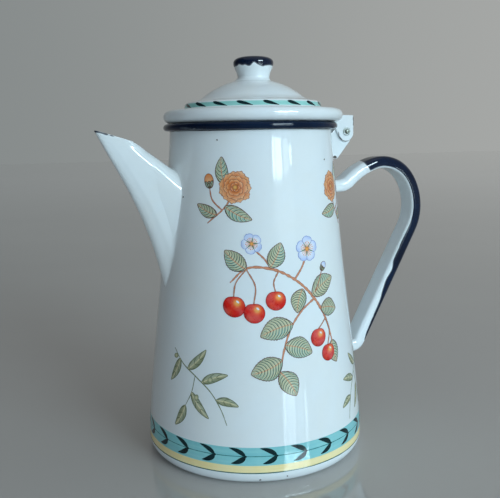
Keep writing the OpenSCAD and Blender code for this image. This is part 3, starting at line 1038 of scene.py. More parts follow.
def handle():
    path, nrm = handle_path()
    sec, sn = strap_section()
    m = len(sec)
    # the outer face is crowned a little
    crown = 0.22 * (1 - (sec[:, 1] / STRAP_W) ** 2) * (sn[:, 0] > 0.9)
    rails = []
    more = DEPTH(np.arange(len(path)) * 0.25) - STRAP_T
    share = np.clip((sec[:, 0] - 3.3) / (STRAP_T - 2.3 - 3.3), 0, 1)
    for (u, v), c, part in zip(sec, crown, share):
        x = path[:, 0] - nrm[:, 0] * (u + more * part)
        z = path[:, 1] - nrm[:, 1] * (u + more * part)
        rails.append(np.column_stack([x, np.full(len(x), v), z]))
    rails = np.array(rails)                                  # (m, n, 3)
    n = rails.shape[1]
    gap = np.hypot(rails[:, :, 0], rails[:, :, 1]) - R_OF(rails[:, :, 2])
    mid = n // 2
    ends = []
    for j in range(m):
        g = gap[j]
        a = mid
        while a > 0 and g[a] > 0:
            a -= 1
        b = mid
        while b < n - 1 and g[b] > 0:
            b += 1
        ends.append((a + g[a] / (g[a] - g[a + 1]), b - g[b] / (g[b] - g[b - 1])))
    ends = np.array(ends)
    top_from = int(ends[:, 0].max()) + 26
    low_from = int(ends[:, 1].min()) - 26
    idx = np.arange(n, dtype=float)

    def at(j, i):
        return np.array([np.interp(i, idx, rails[j, :, k]) for k in range(3)])

    K = 16
    close = (1 - np.linspace(0, 1, K + 1)[:-1]) ** 1.7        # rows crowd together at the body
    rows, s_rows = [], []
    for c in close[::-1]:
        rows.append([("t", c)] * m)
    body_rows = list(np.arange(top_from, low_from, 2.6))
    out = []
    s_val = []
    for c in np.concatenate([[0.0], close[::-1]]):
        out.append([at(j, ends[j, 0] + (top_from - ends[j, 0]) * c) for j in range(m)])
        s_val.append([ends[j, 0] + (top_from - ends[j, 0]) * c for j in range(m)])
    for i in body_rows[1:]:
        out.append([at(j, i) for j in range(m)])
        s_val.append([i] * m)
    for c in np.concatenate([close, [0.0]]):
        out.append([at(j, ends[j, 1] + (low_from - ends[j, 1]) * c) for j in range(m)])
        s_val.append([ends[j, 1] + (low_from - ends[j, 1]) * c for j in range(m)])
    P = np.array(out)                                         # (rows, m, 3)
    S = np.array(s_val) * 0.25
    left_t = (S - ends[None, :, 0] * 0.25)
    left_b = (ends[None, :, 1] * 0.25 - S)
    ni = np.clip(np.round(S / 0.25).astype(int), 0, n - 1)
    dirs = np.stack([nrm[ni][:, :, 0] * sn[None, :, 0], np.broadcast_to(sn[None, :, 1], S.shape), nrm[ni][:, :, 1] * sn[None, :, 0]], -1)
    P = P + dirs * np.broadcast_to(crown[None, :, None], P.shape) * smooth(np.minimum(left_t, left_b) / 8)[:, :, None]
    # the weld's fillet at both ends
    for left, D, amount in ((left_t, np.interp(sn[:, 0], [-1, 0, 1], [3.0, 3.0, 3.0]), np.interp(sn[:, 0], [-1, 0, 1], [1.8, 1.3, 1.3])),
                            (left_b, np.interp(sn[:, 0], [-1, 0, 1], [2.6, 3.0, 2.6]), np.interp(sn[:, 0], [-1, 0, 1], [1.4, 1.4, 1.1]))):
        u = np.clip(1 - left / D[None], 0, 1)
        g = 1 - np.sqrt(np.maximum(1 - u * u, 0))
        bn = BODY.normal(np.arctan2(P[:, :, 1], P[:, :, 0]), P[:, :, 2])
        along_body = dirs - (dirs * bn).sum(-1, keepdims=True) * bn
        L = np.linalg.norm(along_body, axis=-1, keepdims=True)
        along_body = along_body / np.maximum(L, 0.25)
        P = P + along_body * (g * amount[None])[:, :, None]
        r_now = np.hypot(P[:, :, 0], P[:, :, 1])
        want = R_OF(P[:, :, 2])
        f = 1 + (want / r_now - 1) * u**3
        low = r_now * f < want
        f = np.where(low & (u > 0), want / r_now, f)
        P[:, :, 0] *= f
        P[:, :, 1] *= f
    first, last = P[0].copy(), P[-1].copy()
    for e in (first, last):
        r = np.hypot(e[:, 0], e[:, 1])
        e[:, 0] *= (r - 0.6) / r
        e[:, 1] *= (r - 0.6) / r
    P = np.concatenate([first[None], P, last[None]])
    S = np.concatenate([S[:1], S, S[-1:]])
    rows_n = len(P)
    verts = P.reshape(-1, 3)
    faces = []
    for i in range(rows_n - 1):
        for j in range(m):
            k = (j + 1) % m
            faces.append((i * m + j, i * m + k, (i + 1) * m + k, (i + 1) * m + j))
    faces.append(tuple(range(m)))
    faces.append(tuple((rows_n - 1) * m + j for j in range(m - 1, -1, -1)))
    # navy dip: how deep it reaches down the strap's sides, in millimetres from the outer face
    s_mm = S
    depth = sec[None, :, 0] + (DEPTH(s_mm) - STRAP_T) * share[None]
    across = np.broadcast_to(sec[None, :, 1], S.shape)
    total = float(idx[-1] * 0.25)
    reach = DIP(s_mm)
    near = np.where(across < 0, 0.0, 0.35)
    dip = reach - depth + near * 0.5
    start = (s_mm - (DIP_START + depth * 0.3 + (across + 7) * 0.31)) * 0.8
    stop = (DIP_END - s_mm) * 0.5
    dip = np.minimum(np.minimum(dip, start), stop)
    face_in = np.broadcast_to((sn[None, :, 0] < -0.6), S.shape)
    dip = np.where(face_in, np.minimum(dip, -0.8), dip)
    ob = outward(make("handle_strap", verts, faces, two_tone("enamel_handle", "dip", 0.42), "pot", attrs={"dip": dip.reshape(-1)}))
    ob.data.set_sharp_from_angle(angle=math.radians(60))
    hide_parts("handle")
    return ob


# distance along the strap (mm from the start of its path, inside the body) against how deep the navy reaches
DIP = Pchip([0, 45, 52, 60, 72, 82, 85.2, 86.2, 87.4, 95, 104, 115, 124, 131, 133.5, 141, 149, 156, 164, 169, 180, 192, 198, 210], [6.0, 6.0, 6.3, 6.6, 7.0, 7.3, 7.4, 8.3, 7.5, 8.3, 8.4, 7.4, 7.9, 8.5, 7.7, 7.6, 5.8, 6.6, 5.6, 4.4, 3.8, 3.3, 1.9, -2])
DIP_START, DIP_END = 34.4, 198.0

handle()

# ---------------------------------------------------------------- lid
LX = 1.8                                                  # the lid's axis


def lid_shell():
    R, c = 46.2, 171.2
    dome = [(R * math.sin(math.radians(a)), c + R * math.cos(math.radians(a))) for a in np.linspace(0, 40.2, 24)]
    step = filleted([(30.6, 205.95), (33.4, 204.95), (38.35, 204.0), (39.1, 203.3), (39.92, 200.6), (41.2, 199.8), (47.0, 199.8)], [0, 3, 1.0, 0.5, 0.9, 1.0, 0], closed=False, support=0.25)
    roll = arc(48.3, 196.15, 3.65, 90, -90, 26)
    under = arc(48.3, 196.15, 3.65, -90, -168, 8) + [(44.75, 196.6), (44.7, 198.1), (44.4, 198.6), (43.9, 198.8), (42.5, 198.8)]
    inner = filleted([(42.5, 198.8), (40.2, 198.8), (39.0, 199.8), (38.2, 202.7), (37.7, 203.1), (33.2, 204.05), (30.0, 204.95)], [0, 1, 1, 0.5, 0.5, 3, 0], closed=False, support=0.25)
    Ri = R - 1
    dome_in = [(Ri * math.sin(math.radians(a)), c + Ri * math.cos(math.radians(a))) for a in np.linspace(40.0, 0, 20)]
    prof = dome + step[1:] + roll[1:] + under[1:] + inner[1:-1] + dome_in
    v, f = revolved(prof, LX, closed=False)
    ob = outward(make("lid_dome_shell", v, f, M_WHITE, "lid"))
    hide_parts("lid_shell")
    return ob


lid_shell()


def lid_collar():
    prof = filleted([(43.6, 198.9), (43.6, 182.5), (42.6, 182.5), (42.6, 197.8), (41.0, 197.8), (41.0, 198.9)], [0, 0.48, 0.48, 0.6, 0.3, 0])
    v, f = revolved(prof, LX)
    ob = outward(make("lid_collar_ring", v, f, M_WHITE, "lid"))
    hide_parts("lid_collar")


lid_collar()

STEP = Pchip([200.0, 200.6, 203.3, 203.8], [40.1, 39.9, 39.1, 38.95])
LID = Round(STEP, LX)
M_MINT = band_paint("paint_mint", lin((140, 202, 196)), lin((158, 213, 205)))
band("lid_band_turquoise", 200.55, 203.15, M_MINT, surf=LID, body="lid", edge=0.05, seed=13)


def lid_garland():
    art = Art(LID, 0.0, 201.85, body="lid")
    r = float(STEP(201.85))
    wob = wobble(41, 5, 0.3, 1.1)

    def ink(p):
        return mixc(DARK, DARK2, 0.5 + 0.5 * wob(p[:, 0], p[:, 1]))

    for k in range(18):
        x0 = math.radians(-181.5 + 20 * k) * r
        j = float(wob(k * 2.3, 1.7))
        leaf, _ = brush_leaf((x0 - 3.6 + 0.2 * j, 1.05), (x0 + 4.3 + 0.3 * j, -1.2), 2.05, 0.25)
        art.fill("leaves", 2, leaf, ink, 0.6)
    art.build("lid_garland", {"leaves": M_LINE})


lid_garland()


def knob():
    z = 216.45
    out = Pchip([0, 1.8, 3.8, 6.2, 8.4, 9.8, 10.6], [9.3, 9.15, 9.55, 10.5, 11.42, 11.6, 11.5])
    prof = [(11.9, 215.55), (11.3, 216.02), (10.7, 216.36), (10.15, 216.75), (9.7, 217.25), (9.4, 217.8)] + [(float(out(h)), z + h) for h in np.linspace(1.9, 10.0, 22)]
    prof += [(11.52, z + 10.5), (11.25, z + 11.15), (10.75, z + 11.75), (10.0, z + 12.3), (9.0, z + 12.75), (7.8, z + 13.05), (6.0, z + 13.32), (4.0, z + 13.5), (2.0, z + 13.6), (0, z + 13.64)]
    prof += [(0, z + 12.6), (5.8, z + 12.3), (8.8, z + 11.7), (10.2, z + 10.7), (10.5, z + 9.8), (10.3, z + 8.6), (9.4, z + 6.5), (8.6, z + 4), (8.2, z + 1.9), (8.3, z - 0.3)]
    seg = 128
    v, f = revolved(prof, LX, seg)
    v = np.array(v)
    th = np.arctan2(v[:, 1], v[:, 0] - LX)
    off = np.interp(v[:, 2], [216.0, 218.5], [0.0, 1.0])
    # lower edge of the navy dip: uneven, with one white peak towards the viewer
    w = wobble(61, 7, 1, 4)
    edge = 224.05 + 0.45 * w(np.cos(th) * 2, np.sin(th) * 2)
    for at, high, wide in ((-114, 1.7, 0.13), (-139, 0.5, 0.10), (-88, -0.5, 0.16), (-160, 0.7, 0.14), (35, 1.1, 0.14), (100, 0.8, 0.2)):
        d = (th - math.radians(at) + pi) % (2 * pi) - pi
        edge = edge + high * np.exp(-((d / wide) ** 2))
    dip = (v[:, 2] - edge)
    # bent a little off the lid's centre in use
    v[:, 0] += 0.60 * off
    v[:, 1] -= 0.28 * off
    ob = outward(make("knob_cap", v, f, two_tone("enamel_knob", "dip", 0.30), "lid", attrs={"dip": dip}))
    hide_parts("knob")


knob()


# ---------------------------------------------------------------- hinge
def plate(outline, y0, y1, bevel=0.28, radius=0.8, step=16):
    """A flat plate of an (x, z) outline between y0 and y1, its corners rounded and its edges softened."""
    pts = filleted(outline, radius, step=step, support=0)
    n = len(pts)
    P = np.array(pts)
    if sum(P[i][0] * P[(i + 1) % n][1] - P[(i + 1) % n][0] * P[i][1] for i in range(n)) < 0:
        P = P[::-1]
    d1 = P - np.roll(P, 1, 0)
    d2 = np.roll(P, -1, 0) - P
    d1 /= np.maximum(np.hypot(*d1.T), 1e-9)[:, None]
    d2 /= np.maximum(np.hypot(*d2.T), 1e-9)[:, None]
    t = d1 + d2
    t /= np.maximum(np.hypot(*t.T), 1e-9)[:, None]
    nrm = np.column_stack([t[:, 1], -t[:, 0]])
    rows = []
    for a in np.linspace(0, 90, 5):
        rows.append((bevel * (1 - math.sin(math.radians(a))), y0 + bevel * (1 - math.cos(math.radians(a)))))
    rows += [(b, y1 - (y - y0)) for b, y in reversed(rows)]
    verts = []
    flat = P - nrm * (bevel + 0.15)
    verts += [(p[0], y0, p[1]) for p in flat]
    for b, y in rows:
        verts += [(p[0], y, p[1]) for p in P - nrm * b]
    verts += [(p[0], y1, p[1]) for p in flat]
    R = len(rows) + 2
    faces = []
    for i in range(R - 1):
        for j in range(n):
            k = (j + 1) % n
            faces.append((i * n + j, i * n + k, (i + 1) * n + k, (i + 1) * n + j))
    faces.append(tuple(reversed(range(n))))
    faces.append(tuple((R - 1) * n + j for j in range(n)))
    return verts, faces


PX, PZ = 61.6, 186.9


def hinge():
    # bracket on the pot: two cheeks and a slanted web between them
    cheek = [(46.2, 171.5), (55.6, 170.45), (57.0, 171.8), (64.75, 180.95), (65.2, 183.2), (65.2, 186.6)] + arc(PX, PZ, 3.6, 0, 100, 8)[1:] + [(58.5, 189.9), (54.5, 188.5), (51.6, 185.8), (46.4, 180.5)]
    parts = [plate(cheek, s * 5.5 - 0.5, s * 5.5 + 0.5, radius=0.7) for s in (1, -1)]
    web = [(55.9, 170.55), (64.75, 181.05), (64.0, 181.7), (55.0, 171.2)]
    parts.append(plate(web, -5.7, 5.7, bevel=0.2, radius=0.3))
    v, f = joined(parts)
    ob = outward(make("hinge_bracket_folded", v, f, M_WHITE, "pot"))
    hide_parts("hinge_bracket")
    # ear on the lid: two cheeks with a rear web, wrapped round the bracket
    cx, cz, r = PX - 0.5, PZ - 0.5, 5.5
    cheek = [(50.2, 194.4), (52.2, 193.0), (53.4, 189.6)] + arc(cx, cz, r, 200, 358, 20) + [(66.55, 189.0), (66.6, 195.0), (66.25, 196.1), (65.3, 196.75), (49.6, 196.8)]
    parts = [plate(cheek, s * 6.8 - 0.5, s * 6.8 + 0.5, radius=0.5) for s in (1, -1)]
    parts.append(plate([(65.62, 192.1), (66.58, 192.1), (66.58, 196.75), (65.62, 196.75)], -7.1, 7.1, bevel=0.3, radius=0.25))
    v, f = joined(parts)
    ob = outward(make("lid_ear_folded", v, f, M_WHITE, "lid"))
    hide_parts("lid_hinge_ear")
    # pin with a domed head at each end, and its two washers
    prof = [(0, 8.95), (0.7, 8.88), (1.15, 8.66), (1.42, 8.32), (1.5, 8.0), (1.44, 7.9), (1.3, 7.9), (1.3, 0)]
    prof = prof + [(a, -b) for a, b in reversed(prof[:-1])]
    v, f = about_y(prof, PX, PZ, 32)
    ob = outward(make("hinge_pin_riveted", v, f, M_STEEL, "pot"))
    ob.data.set_sharp_from_angle(angle=math.radians(50))
    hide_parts("hinge_pin")
    parts = []
    for s in (1, -1):
        ring = filleted([(1.32, 7.4), (2.6, 7.4), (2.6, 7.9), (1.32, 7.9)], [0.05, 0.12, 0.18, 0.1], support=0)
        parts.append(about_y([(a, s * b) for a, b in ring], PX, PZ, 40))
    v, f = joined(parts)
    ob = outward(make("hinge_washer_pair", v, f, M_WASHER, "pot"))
    ob.data.set_sharp_from_angle(angle=math.radians(40))
    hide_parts("hinge_washers")


hinge()


def flake(name, outline, at, u, v, n, body, mat, thick=0.06):
    """A flat patch, for bare iron and for painted shade: an outline in millimetres laid on a plane and given a little
    thickness.
    """
    at, u, v, n = (np.array(a, float) for a in (at, u, v, n))
    base = [at + u * a + v * b for a, b in outline]
    k = len(base)
    verts = [tuple(p - n * 0.15) for p in base] + [tuple(p + n * thick) for p in base]
    faces = [tuple(range(k))[::-1], tuple(range(k, 2 * k))] + [(i, (i + 1) % k, k + (i + 1) % k, k + i) for i in range(k)]
    return verts, faces


def hinge_wear_and_painted_shade():
    """Painted shadow in iron colour along the ear's lower edge and painted shade at its rear corner, and iron showing
    at the bracket's tip.
    """
    cx, cz, r = PX - 0.5, PZ - 0.5, 5.5
    w = wobble(303, 6, 1, 5)
    # painted shadow: a dark strip along the ear's lower edge, where the gap between the ear and the bracket lies in
    # shade
    angs = np.radians(np.linspace(176, 296, 40))
    wide = 0.46 * np.interp(np.degrees(angs), [176, 186, 200, 250, 280, 296], [0.3, 1.3, 1.25, 1.0, 0.8, 0.1])
    wide = wide * (1 + 0.35 * np.array([float(w(a * 3, 0.4)) for a in angs]))
    outer = [(cx + (r + 0.02) * math.cos(a), cz + (r + 0.02) * math.sin(a)) for a in angs]
    inner = [(cx + (r - q) * math.cos(a), cz + (r - q) * math.sin(a)) for a, q in zip(angs, wide)]
    parts = []
    for i in range(len(angs) - 1):
        parts.append(flake("", [outer[i], outer[i + 1], inner[i + 1], inner[i]], (0, -7.3, 0), (1, 0, 0), (0, 0, 1), (0, -1, 0), "lid", M_CHIP_AND_SHADE, 0.03))
    # painted shade: dark patches on the rear web at the ear's rear corner and along the near cheek's rear edge, where
    # the rounded corner turns away into shade
    rear = [(-6.9, 192.5), (-6.2, 192.4), (-5.6, 192.9), (-5.9, 193.6), (-4.9, 194.6), (-5.2, 195.7), (-6.4, 195.9), (-6.95, 195.2), (-6.8, 193.4)]
    parts.append(flake("", rear, (66.58, 0, 0), (0, 1, 0), (0, 0, 1), (1, 0, 0), "lid", M_CHIP_AND_SHADE, 0.03))
    parts.append(flake("", [(66.1, 190.6), (66.57, 190.4), (66.57, 195.1), (66.2, 195.9), (66.0, 194.6), (66.3, 192.8)], (0, -7.3, 0), (1, 0, 0), (0, 0, 1), (0, -1, 0), "lid", M_CHIP_AND_SHADE, 0.03))
    v, f = joined(parts)
    outward(make("lid_ear_painted_shade_edge", v, f, M_CHIP_AND_SHADE, "lid", flat=True))
    # a real chip at the bracket's tip
    tip = [(52.6, 171.1), (53.9, 170.85), (55.3, 170.7), (55.5, 171.3), (54.9, 172.2), (53.9, 172.5), (53.0, 171.9)]
    v, f = joined([flake("", tip, (0, -6.0, 0), (1, 0, 0), (0, 0, 1), (0, -1, 0), "pot", M_CHIP_AND_SHADE, 0.03)])
    outward(make("bracket_worn_tip", v, f, M_CHIP_AND_SHADE, "pot", flat=True))


hinge_wear_and_painted_shade()

# ---------------------------------------------------------------- painted sprigs
HUE = {k: np.array(lin(v)) for k, v in {
    "sage": (172, 182, 158), "mint": (150, 190, 178), "moss": (110, 132, 102), "olive": (150, 156, 122), "straw": (224, 216, 176),
    "stem": (214, 146, 112), "brown": (112, 66, 58), "ink": (70, 92, 78), "red": (222, 34, 26), "deep": (146, 10, 18),
    "coral": (244, 92, 52), "amber": (252, 200, 104), "peach": (244, 186, 132), "orange": (226, 128, 62), "rust": (170, 84, 46),
    "snow": (240, 244, 252), "sky": (176, 200, 246), "blue": (112, 138, 206), "plum": (158, 96, 88), "vine": (120, 130, 98)}.items()}


def ellipse(c, a, b, turn=0.0, n=40, dent=0.0):
    t = np.linspace(0, 2 * pi, n, endpoint=False)
    x, y = a * np.cos(t), b * np.sin(t) * (1 - dent * np.exp(-((t - pi / 2) / 0.45) ** 2))
    r = math.radians(turn)
    return np.column_stack([c[0] + x * math.cos(r) - y * math.sin(r), c[1] + x * math.sin(r) + y * math.cos(r)])


def leaf(art, k, base, tip, width, bow=0.0, teeth=0, veins=8, a="sage", b="mint", edge="brown", rib="stem", vein="ink", seed=0, full=0.46, dim=1.0):
    """A painted leaf: two washes either side of its rib, toothed outline, hatched side veins."""
    b0, t0 = np.array(base, float), np.array(tip, float)
    d = t0 - b0
    size = float(np.hypot(*d))
    d /= size
    nrm = np.array([-d[1], d[0]])
    n = 64
    s = np.linspace(0, 1, n)
    wob = wobble(seed + 3, 6, 0.15, 0.7)

    def mid(q):
        q = np.asarray(q, float)
        return b0 + d * (q * size)[..., None] + nrm * (bow * 4 * q * (1 - q))[..., None]

    def half(q):
        return width / 2 * np.sin(pi * np.clip(q, 0, 1) ** (math.log(0.5) / math.log(full))) ** 0.78

    saw = 1 + (0.10 * ((s * teeth) % 1) - 0.03 if teeth else 0)
    wl = half(s) * saw
    m = mid(s)
    outline = np.vstack([m + nrm * wl[:, None], (m - nrm * wl[:, None])[1:-1][::-1]])

    def wash(p):
        rel = p - b0
        x = np.clip(rel @ d / size, 0, 1)
        y = rel @ nrm - bow * 4 * x * (1 - x)
        f = np.clip(0.30 + 0.45 * np.sign(y) * np.minimum(np.abs(y) / (width * 0.08), 1) + 0.35 * wob(p[:, 0], p[:, 1]), 0, 1)
        c = mixc(HUE[a], HUE[b], f)
        c = mixc(c, HUE["straw"], np.clip(0.55 * np.exp(-np.abs(y) / (width * 0.10)) + 0.15 * wob(p[:, 1], p[:, 0]), 0, 0.6))
        return mixc(c, HUE["moss"], np.clip(0.42 * (np.abs(y) / (width / 2)) ** 3 + 0.25 * (x > 0.85) * (x - 0.85) / 0.15, 0, 0.6)) * dim

    art.fill("wash", 2 * k, outline, wash, 0.9 if size > 9 else 0.6)
    art.stroke("line", 2 * k + 1, outline, 0.36, HUE[edge] * dim * 0.8, 0.55, closed=True, seed=seed)
    art.stroke("line", 2 * k + 1, mid(np.linspace(0, 0.97, 24)), 0.44, HUE[rib] * dim, 0.7, (1.2, 0.4), seed=seed + 1)
    for i in range(veins):
        q = 0.06 + 0.80 * i / veins
        for sg in (1, -1):
            q1 = min(q + 0.20 + 0.03 * sg, 0.97)
            p0, p1 = mid(q), mid(q1) + sg * nrm * float(half(q1)) * 0.90
            pm = (p0 + p1) / 2 + d * (-0.035 * size) + nrm * sg * 0.05 * width
            path = curve([p0, pm, p1], 9)
            art.stroke("line", 2 * k + 1, path, 0.30, mixc(HUE[vein], HUE["moss"], 0.3 + 0.3 * math.sin(i * 2.1 + seed)) * dim * 0.62, 0.9, (1, 0.5), seed=seed + i)
            if size > 9 and veins > 4:
                art.stroke("line", 2 * k + 1, path + d * size * 0.036, 0.30, HUE["straw"] * dim, 0.9, (1, 0.4), seed=seed + i + 40)


def stem(art, k, pts, w, a="stem", edge="brown", taper=(1.0, 0.6), seed=0):
    p = curve(pts, 60)
    art.stroke("line", 2 * k, p, w + 0.30, HUE[edge], 0.8, taper, seed=seed)
    art.stroke("line", 2 * k + 1, p, w, HUE[a], 0.8, taper, seed=seed)


def cherry(art, k, c, r, seed=0):
    o = ellipse(c, r, r * 0.96, 0, 44, 0.10)
    wob = wobble(seed + 5, 6, 0.3, 1.2)
    hi = np.array(c) + np.array([0.30, 0.32]) * r
    lo = np.array(c) + np.array([-0.45, -0.5]) * r

    def wash(p):
        q = np.hypot(*(p - hi).T) / r
        c1 = mixc(HUE["amber"], HUE["coral"], np.clip(q / 0.42, 0, 1))
        c1 = mixc(c1, HUE["red"], np.clip((q - 0.30) / 0.45, 0, 1))
        c1 = mixc(c1, HUE["deep"], np.clip((q - 0.95) / 0.7 + 0.22 * wob(p[:, 0], p[:, 1]), 0, 1))
        back = np.clip(1 - np.hypot(*(p - lo).T) / (0.5 * r), 0, 1)
        return mixc(c1, HUE["coral"], back * 0.45)

    art.fill("wash", 2 * k, o, wash, 0.6)
    art.stroke("line", 2 * k + 1, o, 0.24, HUE["deep"], 0.5, closed=True, seed=seed)
    rng = np.random.RandomState(seed)
    for _ in range(16):
        a, q = rng.uniform(0, 2 * pi), r * rng.uniform(0.35, 0.86)
        p = np.array([c[0] + q * math.cos(a), c[1] + q * math.sin(a)])
        if np.hypot(*(p - hi)) > 0.4 * r:
            art.fill("line", 2 * k + 1, ellipse(p, 0.20, 0.13, math.degrees(a), 8), lambda x: np.tile(HUE["deep"], (len(x), 1)), 0.3)
    art.fill("line", 2 * k + 1, ellipse(hi + np.array([0.05, 0.1]) * r, 0.17 * r, 0.09 * r, -40, 14), lambda x: np.tile(HUE["snow"], (len(x), 1)), 0.4)


def blossom(art, k, c, r, turn=0.0, seed=0):
    c = np.array(c, float)
    wob = wobble(seed + 7, 6, 0.3, 1.4)
    for i in range(5):
        a = math.radians(turn + 72 * i)
        u, v = np.array([math.cos(a), math.sin(a)]), np.array([-math.sin(a), math.cos(a)])
        s = np.linspace(0, 1, 26)
        w = 0.44 * r * np.sin(pi * s ** 1.55) ** 0.62
        ext = r * (0.10 + 0.90 * s)
        left = c + np.outer(ext, u) + np.outer(w, v)
        right = c + np.outer(ext, u) - np.outer(w, v)
        o = np.vstack([left, (c + u * r * 0.93)[None], right[1:-1][::-1]])

        def wash(p):
            q = np.hypot(*(p - c).T) / r
            e = np.clip((q - 0.45) / 0.5 + 0.35 * wob(p[:, 0], p[:, 1]), 0, 1)
            return mixc(mixc(HUE["peach"], HUE["snow"], np.clip(q / 0.45, 0, 1)), HUE["sky"], 0.85 * e)

        art.fill("wash", 2 * k + (i % 2), o, wash, 0.6)
        art.stroke("line", 2 * k + 2, o, 0.20, HUE["blue"], 0.5, closed=True, seed=seed + i)
        for g in (-0.35, 0.0, 0.35):
            t = a + g * 0.9
            p1 = c + r * (0.55 - 0.1 * abs(g)) * np.array([math.cos(t), math.sin(t)])
            art.stroke("line", 2 * k + 3, [c, p1], 0.20, HUE["stem"], 0.6, (1, 0.6), seed=i)
            art.fill("line", 2 * k + 3, ellipse(p1, 0.30, 0.30, 0, 8), lambda x: np.tile(HUE["orange"], (len(x), 1)), 0.3)
        b = a + math.radians(36)
        tip = c + r * 0.62 * np.array([math.cos(b), math.sin(b)])
        art.stroke("line", 2 * k + 3, [c, tip], 0.62, HUE["moss"], 0.5, (1, 0.1), seed=i)
    art.fill("wash", 2 * k + 4, ellipse(c, 0.17 * r, 0.17 * r, 0, 16), lambda x: mixc(HUE["amber"], HUE["orange"], np.clip(np.hypot(*(x - c).T) / (0.17 * r), 0, 1)), 0.5)


def marigold(art, k, c, r, seed=0):
    c = np.array(c, float)
    wob = wobble(seed + 9, 6, 0.2, 0.9)
    rng = np.random.RandomState(seed)
    for ring, (q, n) in enumerate(((1.0, 11), (0.76, 9), (0.52, 7), (0.30, 5))):
        for i in range(n):
            a = 2 * pi * (i + 0.5 * (ring % 2) + rng.uniform(-0.16, 0.16)) / n + 0.2 * ring
            u, v = np.array([math.cos(a), math.sin(a)]), np.array([-math.sin(a), math.cos(a)])
            R, w = r * q * rng.uniform(0.92, 1.06), r * q * rng.uniform(0.32, 0.44)
            s = np.linspace(-1, 1, 13)
            top = c + np.outer(R * (1 - 0.24 * s**2 + 0.035 * np.cos(3 * pi * s)), u) + np.outer(w * s * 0.95, v)
            o = np.vstack([top, [c + u * R * 0.30 + v * w * 0.35, c + u * R * 0.30 - v * w * 0.35]])

            def wash(p, q=q, R=R):
                z = np.clip(np.hypot(*(p - c).T) / R, 0, 1)
                e = mixc(HUE["rust"], HUE["orange"], np.clip((z - 0.35) / 0.35, 0, 1))
                return mixc(e, HUE["peach"], np.clip((z - 0.68) / 0.3 + 0.25 * wob(p[:, 0], p[:, 1]), 0, 0.9))

            art.fill("wash", 2 * k + ring, o, wash, 0.7)
            art.stroke("line", 2 * k + ring, top, 0.26, HUE["plum"] * 0.8, 0.5, (0.4, 0.4), seed=seed + i)


def bud(art, k, c, a, b, turn, seed=0, wash1="peach", wash2="orange"):
    c = np.array(c, float)
    art.fill("wash", 2 * k, ellipse(c, a, b, turn, 28), lambda p: mixc(HUE[wash1], HUE[wash2], np.clip(np.hypot(*(p - c).T) / a, 0, 1)), 0.6)
    art.stroke("line", 2 * k + 1, ellipse(c, a, b, turn, 28), 0.22, HUE["brown"], 0.5, closed=True, seed=seed)
    r = math.radians(turn)
    u, v = np.array([math.cos(r), math.sin(r)]), np.array([-math.sin(r), math.cos(r)])
    for g in (-0.55, 0.0, 0.55):
        leaf(art, k + 1, c - u * a * 1.15, c - u * a * 0.05 + v * b * 1.5 * g, b * 0.75, 0.15 * g, 0, 0, "sage", "mint", "brown", "moss", seed=seed)


def hung_cherries(art, k, top, centres, r, seed=0):
    for i, c in enumerate(centres):
        c = np.array(c, float)
        t = np.array(top, float)
        bend = (t + c) / 2 + np.array([(0.12 if c[0] > t[0] else -0.12) * abs(c[1] - t[1]), 0.10 * abs(c[1] - t[1])])
        stem(art, k, [t, bend, c + np.array([0, r * 0.82])], 0.42, taper=(1.2, 0.9), seed=seed + i)
        cherry(art, k + 1 + i, c, r * (1 - 0.06 * i), seed + 10 * i)


def branch(name, th, z, mirror=False, turn=0.0, size=1.0):
    """A cherry branch arching to the right, with blossom at its crown and fruit hanging below."""
    art = Art(BODY, math.radians(th), z, turn, size, mirror)
    stem(art, 1, [(-31, 17), (-22, 24.5), (-9, 24), (4, 17.5), (16, 6), (25, -9), (28.5, -20)], 1.15, taper=(0.5, 0.5), seed=1)
    stem(art, 1, [(4, 17.5), (9, 24), (11.5, 29)], 0.7, taper=(1.1, 0.8), seed=2)
    stem(art, 1, [(-9, 24), (-12, 29), (-17, 34)], 0.6, taper=(1.1, 0.7), seed=3)
    stem(art, 1, [(16, 6), (8, 1), (1, -7), (-4, -19), (-7, -31)], 0.8, taper=(1.1, 0.6), seed=4)
    leaf(art, 2, (-22, 24), (-33, 34), 9.5, 0.8, 11, 8, seed=11)
    leaf(art, 2, (-9.5, 24.5), (-3, 37.5), 9.0, -0.8, 11, 8, "mint", "sage", seed=12)
    leaf(art, 2, (14.5, 8), (31.5, 15.5), 11.0, 1.0, 12, 9, seed=13)
    leaf(art, 3, (20.5, 0), (33.5, -2.5), 9.5, 0.8, 11, 8, "mint", "sage", seed=14)
    leaf(art, 2, (8.5, 12), (4.5, -0.5), 9.0, -0.9, 11, 8, seed=15)
    leaf(art, 3, (1.5, -6), (-16.5, -11.5), 11.5, -1.0, 13, 9, seed=16)
    leaf(art, 2, (-3.5, -17), (12.5, -23), 11.0, 1.0, 12, 9, "mint", "sage", seed=17)
    leaf(art, 3, (-5.5, -25), (-22.5, -31.5), 12.0, 1.0, 13, 9, seed=18)
    leaf(art, 2, (-7, -31), (1.5, -44.5), 10.5, 0.9, 12, 8, "sage", "mint", seed=19)
    leaf(art, 2, (28, -19), (31.5, -32), 8.5, -0.7, 10, 7, seed=20)
    hung_cherries(art, 4, (-22, 24.2), [(-29.5, 4.5), (-19.0, 1.0)], 5.9, 31)
    hung_cherries(art, 4, (-5, 22.6), [(-7.2, 7.2)], 5.4, 35)
    hung_cherries(art, 4, (23.5, -6), [(17.5, -15.5), (24.5, -25.0)], 5.2, 39)
    blossom(art, 4, (12.5, 33.0), 7.0, 14, 51)
    blossom(art, 4, (-18.5, 37.5), 5.6, 40, 53)
    bud(art, 4, (24.0, 22.5), 2.6, 2.0, 50, 55, "snow", "sky")
    stem(art, 3, [(17.0, 9.5), (20.5, 15.5), (22.6, 20.2)], 0.36, taper=(1, 0.8), seed=6)
    return art.build(name, {"wash": M_PAINT, "line": M_LINE})


